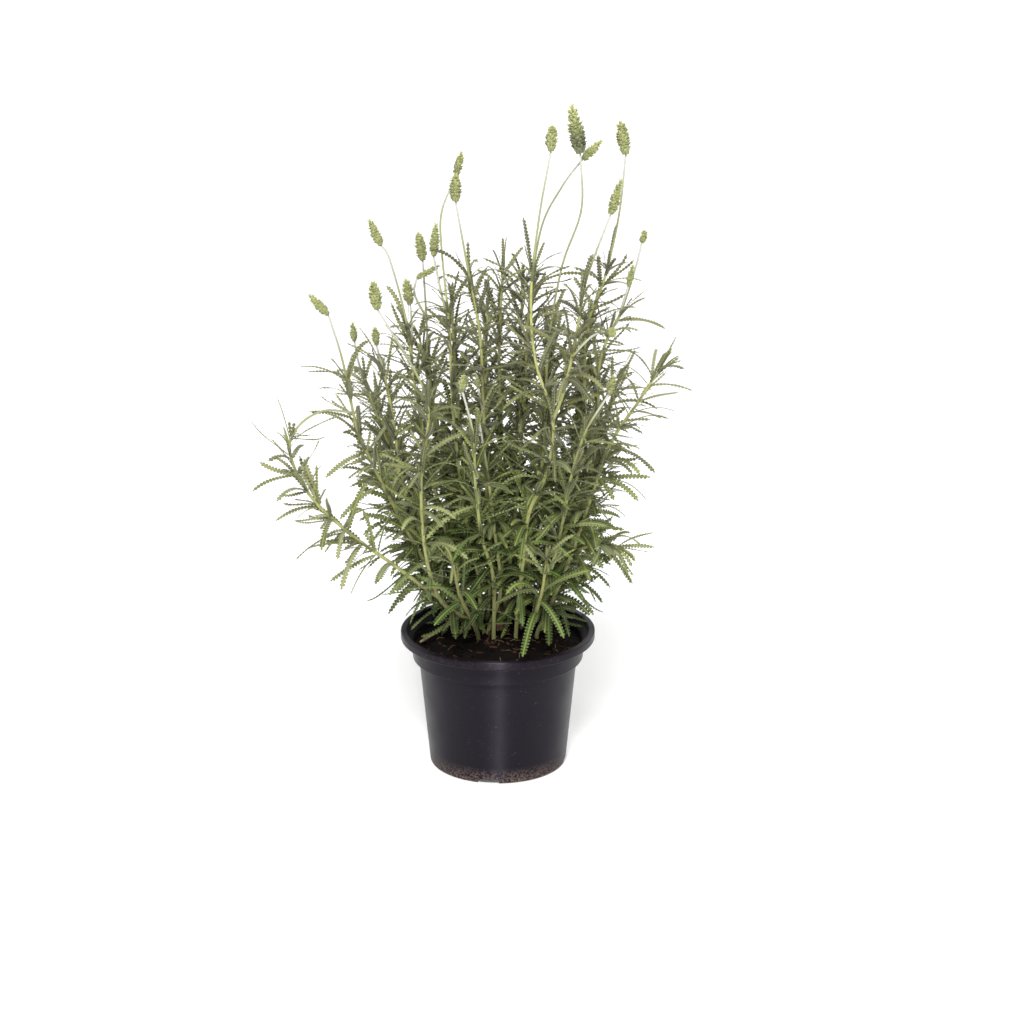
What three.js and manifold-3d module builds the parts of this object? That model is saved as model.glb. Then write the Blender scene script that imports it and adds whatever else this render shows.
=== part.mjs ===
// Fringed lavender growing in a round plastic nursery pot.
// Units are millimetres and +Z is up. The origin is at the middle of the underside of the pot.
import * as THREE from "three";
import { mergeVertices } from "three/addons/utils/BufferGeometryUtils.js";
import Module from "manifold-3d";

const wasm = await Module();
wasm.setup();

// Clearance between pieces that rest in or on each other, and the shortest edge that a joined solid keeps
const GAP = 0.3;
const SHORT_EDGE = 0.02;

// Pot
const POT_HEIGHT = 100;
const POT_SIDES = 24;
const LIP_RADIUS = 70;
const LIP_INNER_RADIUS = 65.5;
const LIP_HEIGHT = 6;
const LIP_ROUND = 1.2;
const COLLAR_RADIUS = 62.3;
const COLLAR_TAPER = 0.8;
const COLLAR_BOTTOM = 79.5;
const BODY_TOP_RADIUS = 57.2;
const FOOT_RADIUS = 49.6;
const FOOT_ROUND = 0.8;
const WALL = 1.4;
const FLOOR = 2;
const CHANNEL_DEPTH = 3;
const CHANNEL_SLOPE = 1.5;
const CHANNEL_INNER_RADIUS = 30;
const CHANNEL_OUTER_RADIUS = 46;
const INNER_FLOOR = CHANNEL_DEPTH + WALL;
const DRAIN_COUNT = 4;
const DRAIN_RADIUS = 4;
const DRAIN_SIDES = 10;
const NOTCH_WIDTH = 15;
const NOTCH_HEIGHT = 2.6;
const NOTCH_TURN = -8;

// Soil, level in the middle and sloping down to its edge
const SOIL_TOP = 95;
const SOIL_EDGE = 89;
const SOIL_RADIUS = 60.3;
const SOIL_LEVEL_RADIUS = 42.2;
const HOLE_BOTTOM = 80;
const HOLE_SIDES = 5;

// Stems, square in section; radii are measured to the corners
const FOOT_TOP = SOIL_TOP + 3;
const STEM_RADIUS = 1.9;
const SIDE_STEM_RADIUS = 1.5;
const STALK_RADIUS = 1.05;
const STEM_SIDES = 4;
const CURVE_STEPS = 12;

// Rings of a stem: the longest stretch and the largest bend between two, and how far they lie below leaves
const RING_STEP = 40;
const RING_BEND = 16;
const RING_BELOW_LEAVES = 3;
const RING_LEAST = 1;

// Leaves; pairs of values go from the lowest leaves of a shoot to its highest
const PAIR_STEP = 40;
const PAIR_TURN = 97;
const STRAND_TURN = 25;
const LEAF_LENGTH = [42, 37];
const LEAF_WIDTH = [5.8, 3.7];
const LEAF_LEAN = [68, 42];
const LEAF_SAG = [1.2, 0.75];
const LEAF_ROOT = 1;
const TOOTH_TIPS = [0.24, 0.49, 0.75];
const TOOTH_NOTCHES = [0.31, 0.56];
const NOTCH_WIDTH_SHARE = 0.46;
const LAST_TOOTH_SHARE = 0.85;
const KEEL_PLACES = [0.12, 0.62];
const KEEL_DEPTHS = [0.96, 0.78];
const SPINE_STEPS = 16;
const TIP_LEAF_SHARE = 0.62;
const TIP_LEAF_RISE = 0.45;
const TIP_LEAF_DROP = 1.5;

// How far a leaf may stray from its place, as lowest and highest draws
const STRAY = { turn: [-12, 12], lean: [-26, 26], roll: [-40, 40], length: [0.8, 1.2], sag: [0.3, 1.5] };

// Room that a leaf keeps to what is near it, and the balls along it that are tested
const LEAF_REACH = 2.4;
const LEAF_ROOM = 0.6;
const LEAF_BALLS = 9;
const FIRST_BALL = 0.16;
const FREE_OF_OWN = 0.4;
const STEM_BALL_STEP = 3;
const HEAD_BALLS = 7;
const LIP_ROOM = 4;
const CROWN_ROOM = 7;
const CROWN_TOP = 114;
const TRIES = 14;
const TRY_TURN = 7;

// Flower heads
const ROWS_PER_MM = 0.22;
const LEAST_ROWS = 2;
const BRACTS = 5;
const CORE_SHARE = 0.6;
const TUFT_SHARE = 0.16;
const TUFT_WIDTH = 0.27;
const BRACT_RISE = 1.12;

// Woody crown: its outline as shares of radius and height, and its cut branches
const CROWN_PLACE = [2, 12];
const CROWN_RADIUS = 4.6;
const CROWN_HEIGHT = 15;
const CROWN_SIDES = 7;
const CROWN_OUTLINE = [
  [0, 0], [1, 0], [1, 0.5], [1.08, 0.62], [0.86, 0.8], [0.95, 0.92], [0.6, 1], [0, 1],
];
const CROWN_BRANCHES = [
  { lean: 38, turn: 250, length: 9, radius: 2, from: 25 },
  { lean: 30, turn: 80, length: 8, radius: 1.7, from: 23.3 },
];
const BRANCH_SIDES = 5;

// Dry stick on the soil
const STICK = { from: [-56, -8], to: [-45, 2], thick: 1.05, thin: 0.8, sides: 6 };

const COLORS = {
  pot: 0x2b2a30,
  soil: 0x2a211c,
  crown: 0x6a4e38,
  stick: 0xb9a37c,
  leaf: 0x74845a,
  lowLeaf: 0x6c8a3e,
  head: 0xa6af5f,
};
const LOW_SHOOT_HEIGHT = 230;

// Shoots. foot is where the stem leaves the soil, and through are the points that it passes on its way to
// its tip. leafy is the share of the length that carries leaves; the bare rest above it is a flower stalk.
// head is the tip and the width of the flower head at the end of the stalk. sides are shoots grown from
// the stem. turn, where a shoot has one, turns its pairs of leaves by that many degrees.
const SHOOTS = [
  {
    name: "left_front", foot: [-10, 4],
    through: [[-24, -8, 111], [-41, -24, 131], [-50, -38, 170], [-52, -48, 225], [-46, -54, 275],
      [-54, -52, 301], [-80, -42, 343]],
    leafy: [0.16, 0.76], head: { tip: [-83, -42, 362], width: 8.7 },
    sides: [{
      name: "arch",
      through: [[-41, -24, 131], [-71, -36, 159], [-102, -42, 185], [-128, -48, 214], [-141, -49, 245],
        [-135, -46, 263], [-118, -43, 273], [-98, -40, 271]],
      leafy: [0.1, 0.76], turn: 90,
    }],
  },
  {
    name: "front_left", foot: [-3, -8],
    through: [[-3, -20, 145], [-11, -36, 182], [-15, -48, 225], [-16, -56, 260], [-23, -60, 291]],
    leafy: [0.2, 0.84], head: { tip: [-22, -60, 302], width: 7 },
  },
  {
    name: "front_mid", foot: [-7, 1],
    through: [[2, -8, 132], [-2, -20, 180], [-7, -31, 228], [-12, -38, 263]],
    leafy: [0.25, 0.8], head: { tip: [-14, -38, 274], width: 5 },
  },
  {
    name: "front_right", foot: [13, -7],
    through: [[15, -14, 125], [18, -26, 160], [22, -36, 198], [34, -44, 230], [38, -50, 268],
      [26, -42, 308], [23, -32, 350], [28, -27, 400], [36, -24, 446]],
    leafy: [0.12, 0.78], head: { tip: [37, -24, 463], width: 8.7 },
    sides: [
      {
        name: "fork",
        through: [[38, -50, 268], [46, -52, 292], [54, -45, 330], [60, -37, 362], [76, -30, 405]],
        leafy: [0.12, 0.58], head: { tip: [83, -30, 429], width: 7.2 },
      },
      {
        name: "nod", through: [[50, -49, 311], [58, -46, 320], [66, -42, 326], [73, -38, 327]],
        leafy: [1, 0], head: { tip: [80, -38, 326], width: 7 },
      },
    ],
  },
  {
    name: "right_front", foot: [22, 0],
    through: [[30, -9, 122], [38, -25, 154], [44, -34, 184], [51, -48, 229], [60, -56, 262],
      [75, -60, 289]],
    leafy: [0.16, 0.86], head: { tip: [78, -60, 302], width: 6.5 },
  },
  {
    name: "middle_tall", foot: [13, 15],
    through: [[17, 4, 135], [28, -6, 190], [33, -12, 250], [35, -14, 310], [44, -14, 366],
      [57, -12, 405], [56, -12, 443]],
    leafy: [0.22, 0.65], head: { tip: [50, -12, 475], width: 10.8 },
  },
  {
    name: "middle_lean", foot: [4, 23],
    through: [[9, 18, 146], [14, 14, 200], [19, 11, 270], [22, 8, 332], [30, 8, 388], [44, 8, 417],
      [58, 8, 436]],
    leafy: [0.2, 0.73], head: { tip: [71, 8, 449], width: 7.2 },
  },
  {
    name: "right_tall", foot: [24, 13],
    through: [[36, 10, 141], [50, 8, 190], [60, 6, 255], [62, 2, 319], [74, -2, 357], [83, -2, 400],
      [87, -2, 441]],
    leafy: [0.14, 0.78], head: { tip: [83, -2, 463], width: 9.4 },
  },
  {
    name: "right_pale", foot: [31, 8],
    through: [[43, 4, 135], [58, -5, 180], [69, -14, 245], [71, -16, 302], [85, -16, 337],
      [94, -16, 366], [98, -16, 383]],
    leafy: [0.14, 0.82], head: { tip: [100, -16, 392], width: 5.5 },
    sides: [{
      name: "fork", through: [[84, -16, 335], [89, -24, 355]], leafy: [1, 0],
      head: { tip: [92, -24, 370], width: 5 },
    }],
  },
  {
    name: "right_outer", foot: [28, -5],
    through: [[40, -9, 126], [53, -13, 162], [66, -17, 205], [80, -20, 246], [96, -22, 272],
      [112, -22, 298]],
    leafy: [0.12, 1],
    sides: [{ name: "low", through: [[53, -13, 162], [69, -24, 171], [84, -34, 172]], leafy: [0.6, 1] }],
  },
  {
    name: "right_inner", foot: [13, 26],
    through: [[31, 25, 143], [46, 26, 190], [56, 30, 240], [60, 33, 285], [66, 34, 310]],
    leafy: [0.2, 1],
  },
  {
    name: "left_tall", foot: [-7, 19],
    through: [[-5, 8, 149], [-8, 0, 210], [-10, -8, 272], [-12, -10, 320], [-20, -10, 365],
      [-28, -8, 410]],
    leafy: [0.22, 0.84], head: { tip: [-28, -8, 429], width: 8.7 },
    sides: [{
      name: "bud", through: [[-10, -7, 262], [-13, -20, 283]], leafy: [1, 0],
      head: { tip: [-14, -20, 292], width: 4.5 },
    }],
  },
  {
    name: "left_twin", foot: [-12, 13],
    through: [[-15, 12, 140], [-24, 6, 190], [-31, 0, 260], [-33, -3, 320], [-38, 2, 375],
      [-38, 10, 400], [-28, 14, 424]],
    leafy: [0.2, 0.72], head: { tip: [-24, 14, 441], width: 6.5 },
    sides: [{
      name: "fork", through: [[-33, -2, 322], [-40, 8, 350], [-44, 12, 369]], leafy: [1, 0],
      head: { tip: [-42, 12, 392], width: 7.2 },
    }],
  },
  {
    name: "left_inner", foot: [-2, 26],
    through: [[-14, 24, 140], [-23, 22, 200], [-28, 19, 260], [-31, 17, 312], [-32, 16, 338]],
    leafy: [0.26, 1],
  },
  {
    name: "left_lean", foot: [-15, 22],
    through: [[-26, 22, 129], [-42, 18, 185], [-56, 12, 262], [-63, 8, 322], [-74, 8, 367], [-80, 8, 377]],
    leafy: [0.16, 0.79], head: { tip: [-88, 8, 395], width: 7.2 },
    sides: [{
      name: "fork", through: [[-60, 10, 300], [-60, 18, 320], [-61, 21, 333]], leafy: [1, 0],
      head: { tip: [-64, 21, 351], width: 8 },
    }],
  },
  {
    name: "left_back", foot: [-8, 31],
    through: [[-21, 32, 141], [-36, 34, 200], [-48, 31, 275], [-50, 28, 322], [-52, 26, 363]],
    leafy: [0.2, 0.74], head: { tip: [-55, 26, 383], width: 8 },
    sides: [{
      name: "bent", through: [[-50, 28, 322], [-58, 23, 340], [-56, 19, 352]], leafy: [1, 0],
      head: { tip: [-40, 20, 361], width: 5.5 },
    }],
  },
  {
    name: "left_mid", foot: [-22, 28],
    through: [[-34, 27, 122], [-54, 26, 155], [-68, 23, 205], [-77, 20, 268], [-85, 20, 304]],
    leafy: [0.14, 0.92], head: { tip: [-86, 20, 317], width: 6.5 },
  },
  {
    name: "left_far", foot: [-21, 12],
    through: [[-40, 9, 128], [-61, 4, 165], [-86, -4, 220], [-98, -8, 252], [-107, -8, 300],
      [-116, -8, 332]],
    leafy: [0.12, 0.82], head: { tip: [-129, -8, 346], width: 7.2 },
  },
  {
    name: "left_pale", foot: [-19, 37],
    through: [[-37, 37, 130], [-60, 40, 175], [-85, 42, 243], [-98, 40, 282], [-102, 40, 302]],
    leafy: [0.16, 0.86], head: { tip: [-103, 40, 316], width: 5.8 },
  },
  {
    name: "middle_fan", foot: [3, 33],
    through: [[3, 32, 150], [2, 30, 215], [1, 28, 280], [2, 26, 325], [4, 24, 354]],
    leafy: [0.2, 1],
  },
  {
    name: "back_fan", foot: [8, 29],
    through: [[11, 29, 150], [13, 32, 215], [15, 34, 280], [17, 34, 325], [18, 34, 345]],
    leafy: [0.56, 1],
  },
  {
    name: "back_right", foot: [14, 36],
    through: [[24, 52, 150], [34, 70, 215], [38, 84, 270], [40, 92, 300]],
    leafy: [0.14, 1],
  },
  {
    name: "back_mid", foot: [-4, 42],
    through: [[-6, 58, 145], [-8, 78, 215], [-9, 94, 275], [-8, 104, 312]],
    leafy: [0.14, 1],
  },
  {
    name: "back_wide", foot: [25, 32],
    through: [[44, 50, 140], [64, 68, 190], [80, 82, 238], [89, 90, 262]],
    leafy: [0.16, 1],
  },
  {
    name: "back_left_low", foot: [-30, 38],
    through: [[-50, 56, 135], [-70, 74, 180], [-84, 90, 225], [-91, 99, 245]],
    leafy: [0.16, 1],
  },
  {
    name: "back_low", foot: [10, 46],
    through: [[14, 74, 128], [18, 98, 150], [22, 116, 165]],
    leafy: [0.3, 1],
  },
  {
    name: "right_low", foot: [34, 20],
    through: [[48, 38, 124], [58, 56, 152], [65, 72, 188], [68, 82, 216]],
    leafy: [0.24, 1],
  },
  {
    name: "left_low", foot: [-32, 22],
    through: [[-50, 34, 122], [-66, 46, 148], [-78, 58, 182], [-84, 66, 208]],
    leafy: [0.24, 1],
  },
  {
    name: "front_low_right", foot: [20, -14],
    through: [[26, -36, 122], [31, -56, 148], [34, -66, 174]],
    leafy: [0.5, 1],
  },
  {
    name: "front_low_left", foot: [-14, -9],
    through: [[-20, -34, 122], [-26, -56, 145], [-30, -70, 172]],
    leafy: [0.5, 1],
  },
  {
    name: "back_left", foot: [-15, 46],
    through: [[-26, 60, 150], [-42, 74, 210], [-52, 84, 265], [-58, 90, 295]],
    leafy: [0.14, 1],
  },
];

// A repeatable stream of numbers from 0 to 1
function draws(seed) {
  let state = seed >>> 0;
  return () => {
    state = (state + 0x6d2b79f5) >>> 0;
    let mixed = Math.imul(state ^ (state >>> 15), 1 | state);
    mixed = (mixed + Math.imul(mixed ^ (mixed >>> 7), 61 | mixed)) ^ mixed;
    return ((mixed ^ (mixed >>> 14)) >>> 0) / 4294967296;
  };
}

const UP = new THREE.Vector3(0, 0, 1);
const radians = THREE.MathUtils.degToRad;
const vector = (place) => new THREE.Vector3(...place);
const blend = ([from, to], share) => from + (to - from) * share;
const last = (list) => list[list.length - 1];

// Closed geometry from corner points and triangles
function closedGeometry(corners, triangles) {
  const geometry = new THREE.BufferGeometry();
  const numbers = corners.flatMap((corner) => corner.toArray());
  geometry.setAttribute("position", new THREE.Float32BufferAttribute(numbers, 3));
  geometry.setIndex(triangles.flat());
  return geometry;
}

// A geometry with its shared corners merged and its empty triangles dropped
function welded(geometry) {
  const bare = geometry.clone();
  bare.deleteAttribute("normal");
  bare.deleteAttribute("uv");
  const merged = mergeVertices(bare, 1e-4);
  const kept = [];
  for (let i = 0; i < merged.index.count; i += 3) {
    const [a, b, c] = [0, 1, 2].map((corner) => merged.index.getX(i + corner));
    if (a !== b && b !== c && c !== a) kept.push(a, b, c);
  }
  merged.setIndex(kept);
  return merged;
}

function solid(geometry) {
  const merged = welded(geometry);
  return new wasm.Manifold(new wasm.Mesh({
    numProp: 3,
    vertProperties: new Float32Array(merged.attributes.position.array),
    triVerts: new Uint32Array(merged.index.array),
  }));
}

function geometryOf(manifold) {
  const mesh = manifold.getMesh();
  const geometry = new THREE.BufferGeometry();
  geometry.setAttribute("position", new THREE.BufferAttribute(new Float32Array(mesh.vertProperties), 3));
  geometry.setIndex(new THREE.BufferAttribute(new Uint32Array(mesh.triVerts), 1));
  return geometry;
}

// The largest body of a joined solid, without loose scraps or edges too short to matter
function largestBody(manifold) {
  const bodies = manifold.decompose();
  return bodies.reduce((best, body) => (body.volume() > best.volume() ? body : best)).simplify(SHORT_EDGE);
}

// A solid of revolution about Z from points of radius and height
function turned(outline, sides) {
  const points = outline.map(([radius, height]) => new THREE.Vector2(radius, height));
  return new THREE.LatheGeometry(points, sides).rotateX(Math.PI / 2);
}

function piece(name, geometry, color, roughness) {
  const material = new THREE.MeshStandardMaterial({ color, roughness, metalness: 0, flatShading: true });
  const mesh = new THREE.Mesh(geometry, material);
  mesh.name = name;
  return mesh;
}

// Pot: its outline runs from the middle of the underside up the outside, over the lip and down inside
function potGeometry() {
  const lipBottom = POT_HEIGHT - LIP_HEIGHT;
  const outline = [
    [0, 0],
    [CHANNEL_INNER_RADIUS, 0],
    [CHANNEL_INNER_RADIUS + CHANNEL_SLOPE, CHANNEL_DEPTH],
    [CHANNEL_OUTER_RADIUS - CHANNEL_SLOPE, CHANNEL_DEPTH],
    [CHANNEL_OUTER_RADIUS, 0],
    [FOOT_RADIUS - FOOT_ROUND, 0],
    [FOOT_RADIUS, FOOT_ROUND],
    [BODY_TOP_RADIUS, COLLAR_BOTTOM],
    [COLLAR_RADIUS - COLLAR_TAPER, COLLAR_BOTTOM],
    [COLLAR_RADIUS, lipBottom],
    [LIP_RADIUS - LIP_ROUND, lipBottom],
    [LIP_RADIUS, lipBottom + LIP_ROUND],
    [LIP_RADIUS, POT_HEIGHT - LIP_ROUND],
    [LIP_RADIUS - LIP_ROUND, POT_HEIGHT],
    [LIP_INNER_RADIUS + LIP_ROUND, POT_HEIGHT],
    [LIP_INNER_RADIUS, POT_HEIGHT - LIP_ROUND],
    [COLLAR_RADIUS - WALL, lipBottom - WALL],
    [COLLAR_RADIUS - COLLAR_TAPER - WALL, COLLAR_BOTTOM + WALL],
    [BODY_TOP_RADIUS - WALL, COLLAR_BOTTOM],
    [FOOT_RADIUS - WALL, INNER_FLOOR],
    [CHANNEL_INNER_RADIUS + WALL / 2, INNER_FLOOR],
    [CHANNEL_INNER_RADIUS - WALL / 2, FLOOR],
    [0, FLOOR],
  ];
  let pot = solid(turned(outline, POT_SIDES));
  const channelRadius = (CHANNEL_INNER_RADIUS + CHANNEL_OUTER_RADIUS) / 2;
  for (let drain = 0; drain < DRAIN_COUNT; drain++) {
    const turn = radians(drain * 360 / DRAIN_COUNT + NOTCH_TURN);
    const notch = new THREE.BoxGeometry(NOTCH_WIDTH, FOOT_RADIUS - channelRadius, 2 * NOTCH_HEIGHT);
    pot = pot.subtract(solid(notch.translate(0, -FOOT_RADIUS, 0).rotateZ(turn)));
    const hole = new THREE.CylinderGeometry(DRAIN_RADIUS, DRAIN_RADIUS, 3 * INNER_FLOOR, DRAIN_SIDES);
    hole.rotateX(Math.PI / 2).translate(0, -channelRadius, 0).rotateZ(turn + Math.PI / DRAIN_COUNT);
    pot = pot.subtract(solid(hole));
  }
  return geometryOf(pot);
}

// Soil that fills the pot, with a plain hole for each foot
function soilGeometry(feet) {
  const outline = [
    [0, FLOOR + GAP],
    [CHANNEL_INNER_RADIUS - WALL / 2 - GAP, FLOOR + GAP],
    [CHANNEL_INNER_RADIUS + WALL / 2 - GAP, INNER_FLOOR + GAP],
    [FOOT_RADIUS - WALL - GAP, INNER_FLOOR + GAP],
    [BODY_TOP_RADIUS - WALL - GAP, COLLAR_BOTTOM + GAP],
    [COLLAR_RADIUS - COLLAR_TAPER - WALL - GAP, COLLAR_BOTTOM + WALL + GAP],
    [SOIL_RADIUS, SOIL_EDGE],
    [SOIL_LEVEL_RADIUS, SOIL_TOP],
    [0, SOIL_TOP],
  ];
  let soil = solid(turned(outline, POT_SIDES));
  const depth = POT_HEIGHT - HOLE_BOTTOM + GAP;
  for (const foot of feet) {
    const radius = (foot.radius + GAP) / Math.cos(Math.PI / HOLE_SIDES);
    const hole = new THREE.CylinderGeometry(radius, radius, depth, HOLE_SIDES).rotateX(Math.PI / 2);
    soil = soil.subtract(solid(hole.translate(foot.x, foot.y, POT_HEIGHT - depth / 2)));
  }
  return geometryOf(soil);
}

function soilHeight([x, y]) {
  const share = (SOIL_RADIUS - Math.hypot(x, y)) / (SOIL_RADIUS - SOIL_LEVEL_RADIUS);
  return blend([SOIL_EDGE, SOIL_TOP], Math.min(share, 1));
}

// Points close together along the smooth curve of a shoot, with its straight foot below where it has one
function finePath(shoot) {
  const places = shoot.through.map(vector);
  if (shoot.foot) places.unshift(new THREE.Vector3(...shoot.foot, FOOT_TOP));
  const curve = new THREE.CatmullRomCurve3(places, false, "catmullrom", 0.5);
  const points = curve.getPoints((places.length - 1) * CURVE_STEPS);
  if (shoot.foot) points.unshift(new THREE.Vector3(...shoot.foot, HOLE_BOTTOM));
  return points;
}

// A strand is one stem: a shoot's own stem or one of its side stems
class Strand {
  constructor(shoot, owner, order) {
    this.shoot = shoot;
    this.owner = owner;
    this.order = order;
    this.points = finePath(shoot);
    this.lengths = [0];
    for (let i = 1; i < this.points.length; i++) {
      this.lengths.push(this.lengths[i - 1] + this.points[i].distanceTo(this.points[i - 1]));
    }
    this.length = last(this.lengths);
    this.end = last(this.points);
    this.leaves = [];
  }

  // The point at a distance along the stem, and the direction of the stem there
  place(distance) {
    let i = 1;
    while (i < this.lengths.length - 1 && this.lengths[i] < distance) i++;
    const share = (distance - this.lengths[i - 1]) / (this.lengths[i] - this.lengths[i - 1]);
    return {
      point: this.points[i - 1].clone().lerp(this.points[i], share),
      along: this.points[i].clone().sub(this.points[i - 1]).normalize(),
    };
  }

  // The stem thins from its start to the top of its leafy stretch, and a flower stalk keeps one thickness
  radius(distance) {
    const start = this.shoot.foot ? STEM_RADIUS : SIDE_STEM_RADIUS;
    const leafyEnd = this.shoot.leafy[1] * this.length;
    return blend([start, STALK_RADIUS], distance < leafyEnd ? distance / leafyEnd : 1);
  }

  // The direction from the end of the stalk to the tip of its flower head
  headAxis() {
    return vector(this.shoot.head.tip).sub(this.end);
  }
}

// Two directions across a stem that runs along the given direction
function across(along) {
  const sideways = new THREE.Vector3(0, 1, 0).addScaledVector(along, -along.y).normalize();
  return [sideways, along.clone().cross(sideways)];
}

// Where a stem has its rings: at its ends, just below each pair of leaves, and evenly in between
function ringStops(strand) {
  const fixed = leafPlacesOn(strand).map((place) => place.distance - RING_BELOW_LEAVES);
  fixed.push(0, strand.length);
  if (strand.shoot.foot) fixed.push(FOOT_TOP - HOLE_BOTTOM);
  fixed.sort((a, b) => a - b);
  const stops = [fixed[0]];
  for (const next of fixed) {
    const from = last(stops);
    if (next - from < RING_LEAST) continue;
    const bend = strand.place(from + RING_LEAST).along.angleTo(strand.place(next).along);
    const stretches = [(next - from) / RING_STEP, bend / radians(RING_BEND)];
    const parts = Math.max(1, ...stretches.map(Math.round));
    for (let i = 1; i <= parts; i++) stops.push(blend([from, next], i / parts));
  }
  return stops;
}

// The direction that a ring faces: along the stem, or along the flower head at the end of a stalk
function ringDirection(strand, stop) {
  if (stop === strand.length && strand.shoot.head) return strand.headAxis().normalize();
  const below = strand.place(Math.max(stop - RING_LEAST, 0)).along;
  return strand.place(stop).along.add(below).normalize();
}

// A tapered square stem: a closed column whose rings are carried to their places along the strand
function stemSolid(strand) {
  const stops = ringStops(strand);
  const rings = stops.length - 1;
  const column = new THREE.CylinderGeometry(1, 1, rings, STEM_SIDES, rings).rotateY(Math.PI / STEM_SIDES);
  const corners = column.attributes.position;
  for (let i = 0; i < corners.count; i++) {
    const stop = stops[Math.round(corners.getY(i) + rings / 2)];
    const [first, second] = across(ringDirection(strand, stop));
    const radius = strand.radius(stop);
    const { point } = strand.place(stop);
    point.addScaledVector(first, corners.getZ(i) * radius);
    point.addScaledVector(second, corners.getX(i) * radius);
    corners.setXYZ(i, point.x, point.y, point.z);
  }
  return solid(column);
}

// The middle line of a leaf: it leaves the stem at its angle, then bends down under its own weight
function leafSpine(leaf) {
  const frames = [];
  const point = leaf.root.clone();
  let upper = leaf.upper;
  for (let i = 0; i <= SPINE_STEPS; i++) {
    const along = leaf.direction.clone().addScaledVector(UP, -leaf.sag * i / SPINE_STEPS).normalize();
    upper = upper.clone().addScaledVector(along, -upper.dot(along)).normalize();
    frames.push({ point: point.clone(), upper, side: upper.clone().cross(along) });
    point.addScaledVector(along, leaf.length / SPINE_STEPS);
  }
  return frames;
}

function spineAt(frames, share) {
  const i = Math.min(Math.floor(share * SPINE_STEPS), SPINE_STEPS - 1);
  const point = frames[i].point.clone().lerp(frames[i + 1].point, share * SPINE_STEPS - i);
  return { ...frames[i], point };
}

// A toothed leaf: flat above, keeled along the rib below, with three teeth on each side
function leafSolid(leaf) {
  const frames = leafSpine(leaf);
  const corners = [leaf.root.clone().addScaledVector(leaf.direction, -LEAF_ROOT)];
  const corner = (share, sideways, down) => {
    const { point, side, upper } = spineAt(frames, share);
    corners.push(point.addScaledVector(side, sideways).addScaledVector(upper, -down));
    return corners.length - 1;
  };
  const tooth = leaf.width / 2;
  const notch = tooth * NOTCH_WIDTH_SHARE;
  const outline = [
    [TOOTH_TIPS[0], tooth],
    [TOOTH_NOTCHES[0], notch],
    [TOOTH_TIPS[1], tooth],
    [TOOTH_NOTCHES[1], notch],
    [TOOTH_TIPS[2], tooth * LAST_TOOTH_SHARE],
  ];
  const root = 0;
  const left = outline.map(([share, sideways]) => corner(share, sideways, 0));
  const right = outline.map(([share, sideways]) => corner(share, -sideways, 0));
  const [lowKeel, highKeel] = KEEL_PLACES.map((share, i) => corner(share, 0, KEEL_DEPTHS[i]));
  const tip = corner(1, 0, 0);
  const faces = [[root, right[0], left[0]], [last(left), last(right), tip]];
  for (let i = 1; i < outline.length; i++) {
    faces.push([left[i - 1], right[i - 1], right[i]], [left[i - 1], right[i], left[i]]);
  }
  const addUnderside = ([firstTip, firstNotch, secondTip, secondNotch, thirdTip], face) => {
    const nearEdge = [root, firstTip, firstNotch, secondTip];
    const farEdge = [secondTip, secondNotch, thirdTip, tip];
    faces.push(face(lowKeel, secondTip, highKeel));
    for (let i = 1; i < nearEdge.length; i++) {
      faces.push(face(nearEdge[i - 1], nearEdge[i], lowKeel), face(farEdge[i - 1], farEdge[i], highKeel));
    }
  };
  addUnderside(left, (a, b, c) => [a, b, c]);
  addUnderside(right, (a, b, c) => [a, c, b]);
  return solid(closedGeometry(corners, faces));
}

// The pairs of leaves along a strand, from the highest down, each turned about a quarter from the one above
function leafPlacesOn(strand) {
  const [low, high] = strand.shoot.leafy.map((share) => share * strand.length);
  const places = [];
  for (let pair = 0; high > low && pair * PAIR_STEP <= high - low; pair++) {
    const atTip = pair === 0 && high === strand.length;
    for (const half of [0, 1]) {
      places.push({
        distance: high - pair * PAIR_STEP - (atTip ? TIP_LEAF_DROP : 0),
        turn: (strand.shoot.turn ?? strand.order * STRAND_TURN) + pair * PAIR_TURN + half * 180,
        share: 1 - pair * PAIR_STEP / (high - low),
        seed: strand.order * 1000 + pair * 10 + half,
        atTip,
      });
    }
  }
  return places;
}

// One leaf at its place on a strand, held as the draws say
function leafAt(strand, place, draw) {
  const stray = {};
  for (const name in STRAY) stray[name] = blend(STRAY[name], draw());
  const { point, along } = strand.place(place.distance);
  const [first, second] = across(along);
  const turn = radians(place.turn + stray.turn);
  const lean = radians(blend(LEAF_LEAN, place.share) + stray.lean);
  const outward = first.multiplyScalar(Math.cos(turn)).addScaledVector(second, Math.sin(turn));
  const direction = along.clone().multiplyScalar(Math.cos(lean)).addScaledVector(outward, Math.sin(lean));
  if (place.atTip) direction.addScaledVector(along, TIP_LEAF_RISE).normalize();
  return {
    root: point,
    direction,
    upper: along.clone().multiplyScalar(0.5).add(UP).applyAxisAngle(direction, radians(stray.roll)),
    length: blend(LEAF_LENGTH, place.share) * stray.length * (place.atTip ? TIP_LEAF_SHARE : 1),
    width: blend(LEAF_WIDTH, place.share),
    sag: blend(LEAF_SAG, place.share) * stray.sag,
  };
}

// Balls that stand for a stem and its flower head when a leaf looks for room
function stemBalls(strand) {
  const balls = [];
  for (let distance = 0; distance < strand.length; distance += STEM_BALL_STEP) {
    const { point } = strand.place(distance);
    balls.push({ point, radius: strand.radius(distance), owner: strand.owner, share: 1 });
  }
  if (strand.shoot.head) {
    for (let i = 0; i < HEAD_BALLS; i++) {
      const point = strand.end.clone().addScaledVector(strand.headAxis(), i / (HEAD_BALLS - 1));
      balls.push({ point, radius: strand.shoot.head.width / 2, owner: "head", share: 1 });
    }
  }
  return balls;
}

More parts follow.
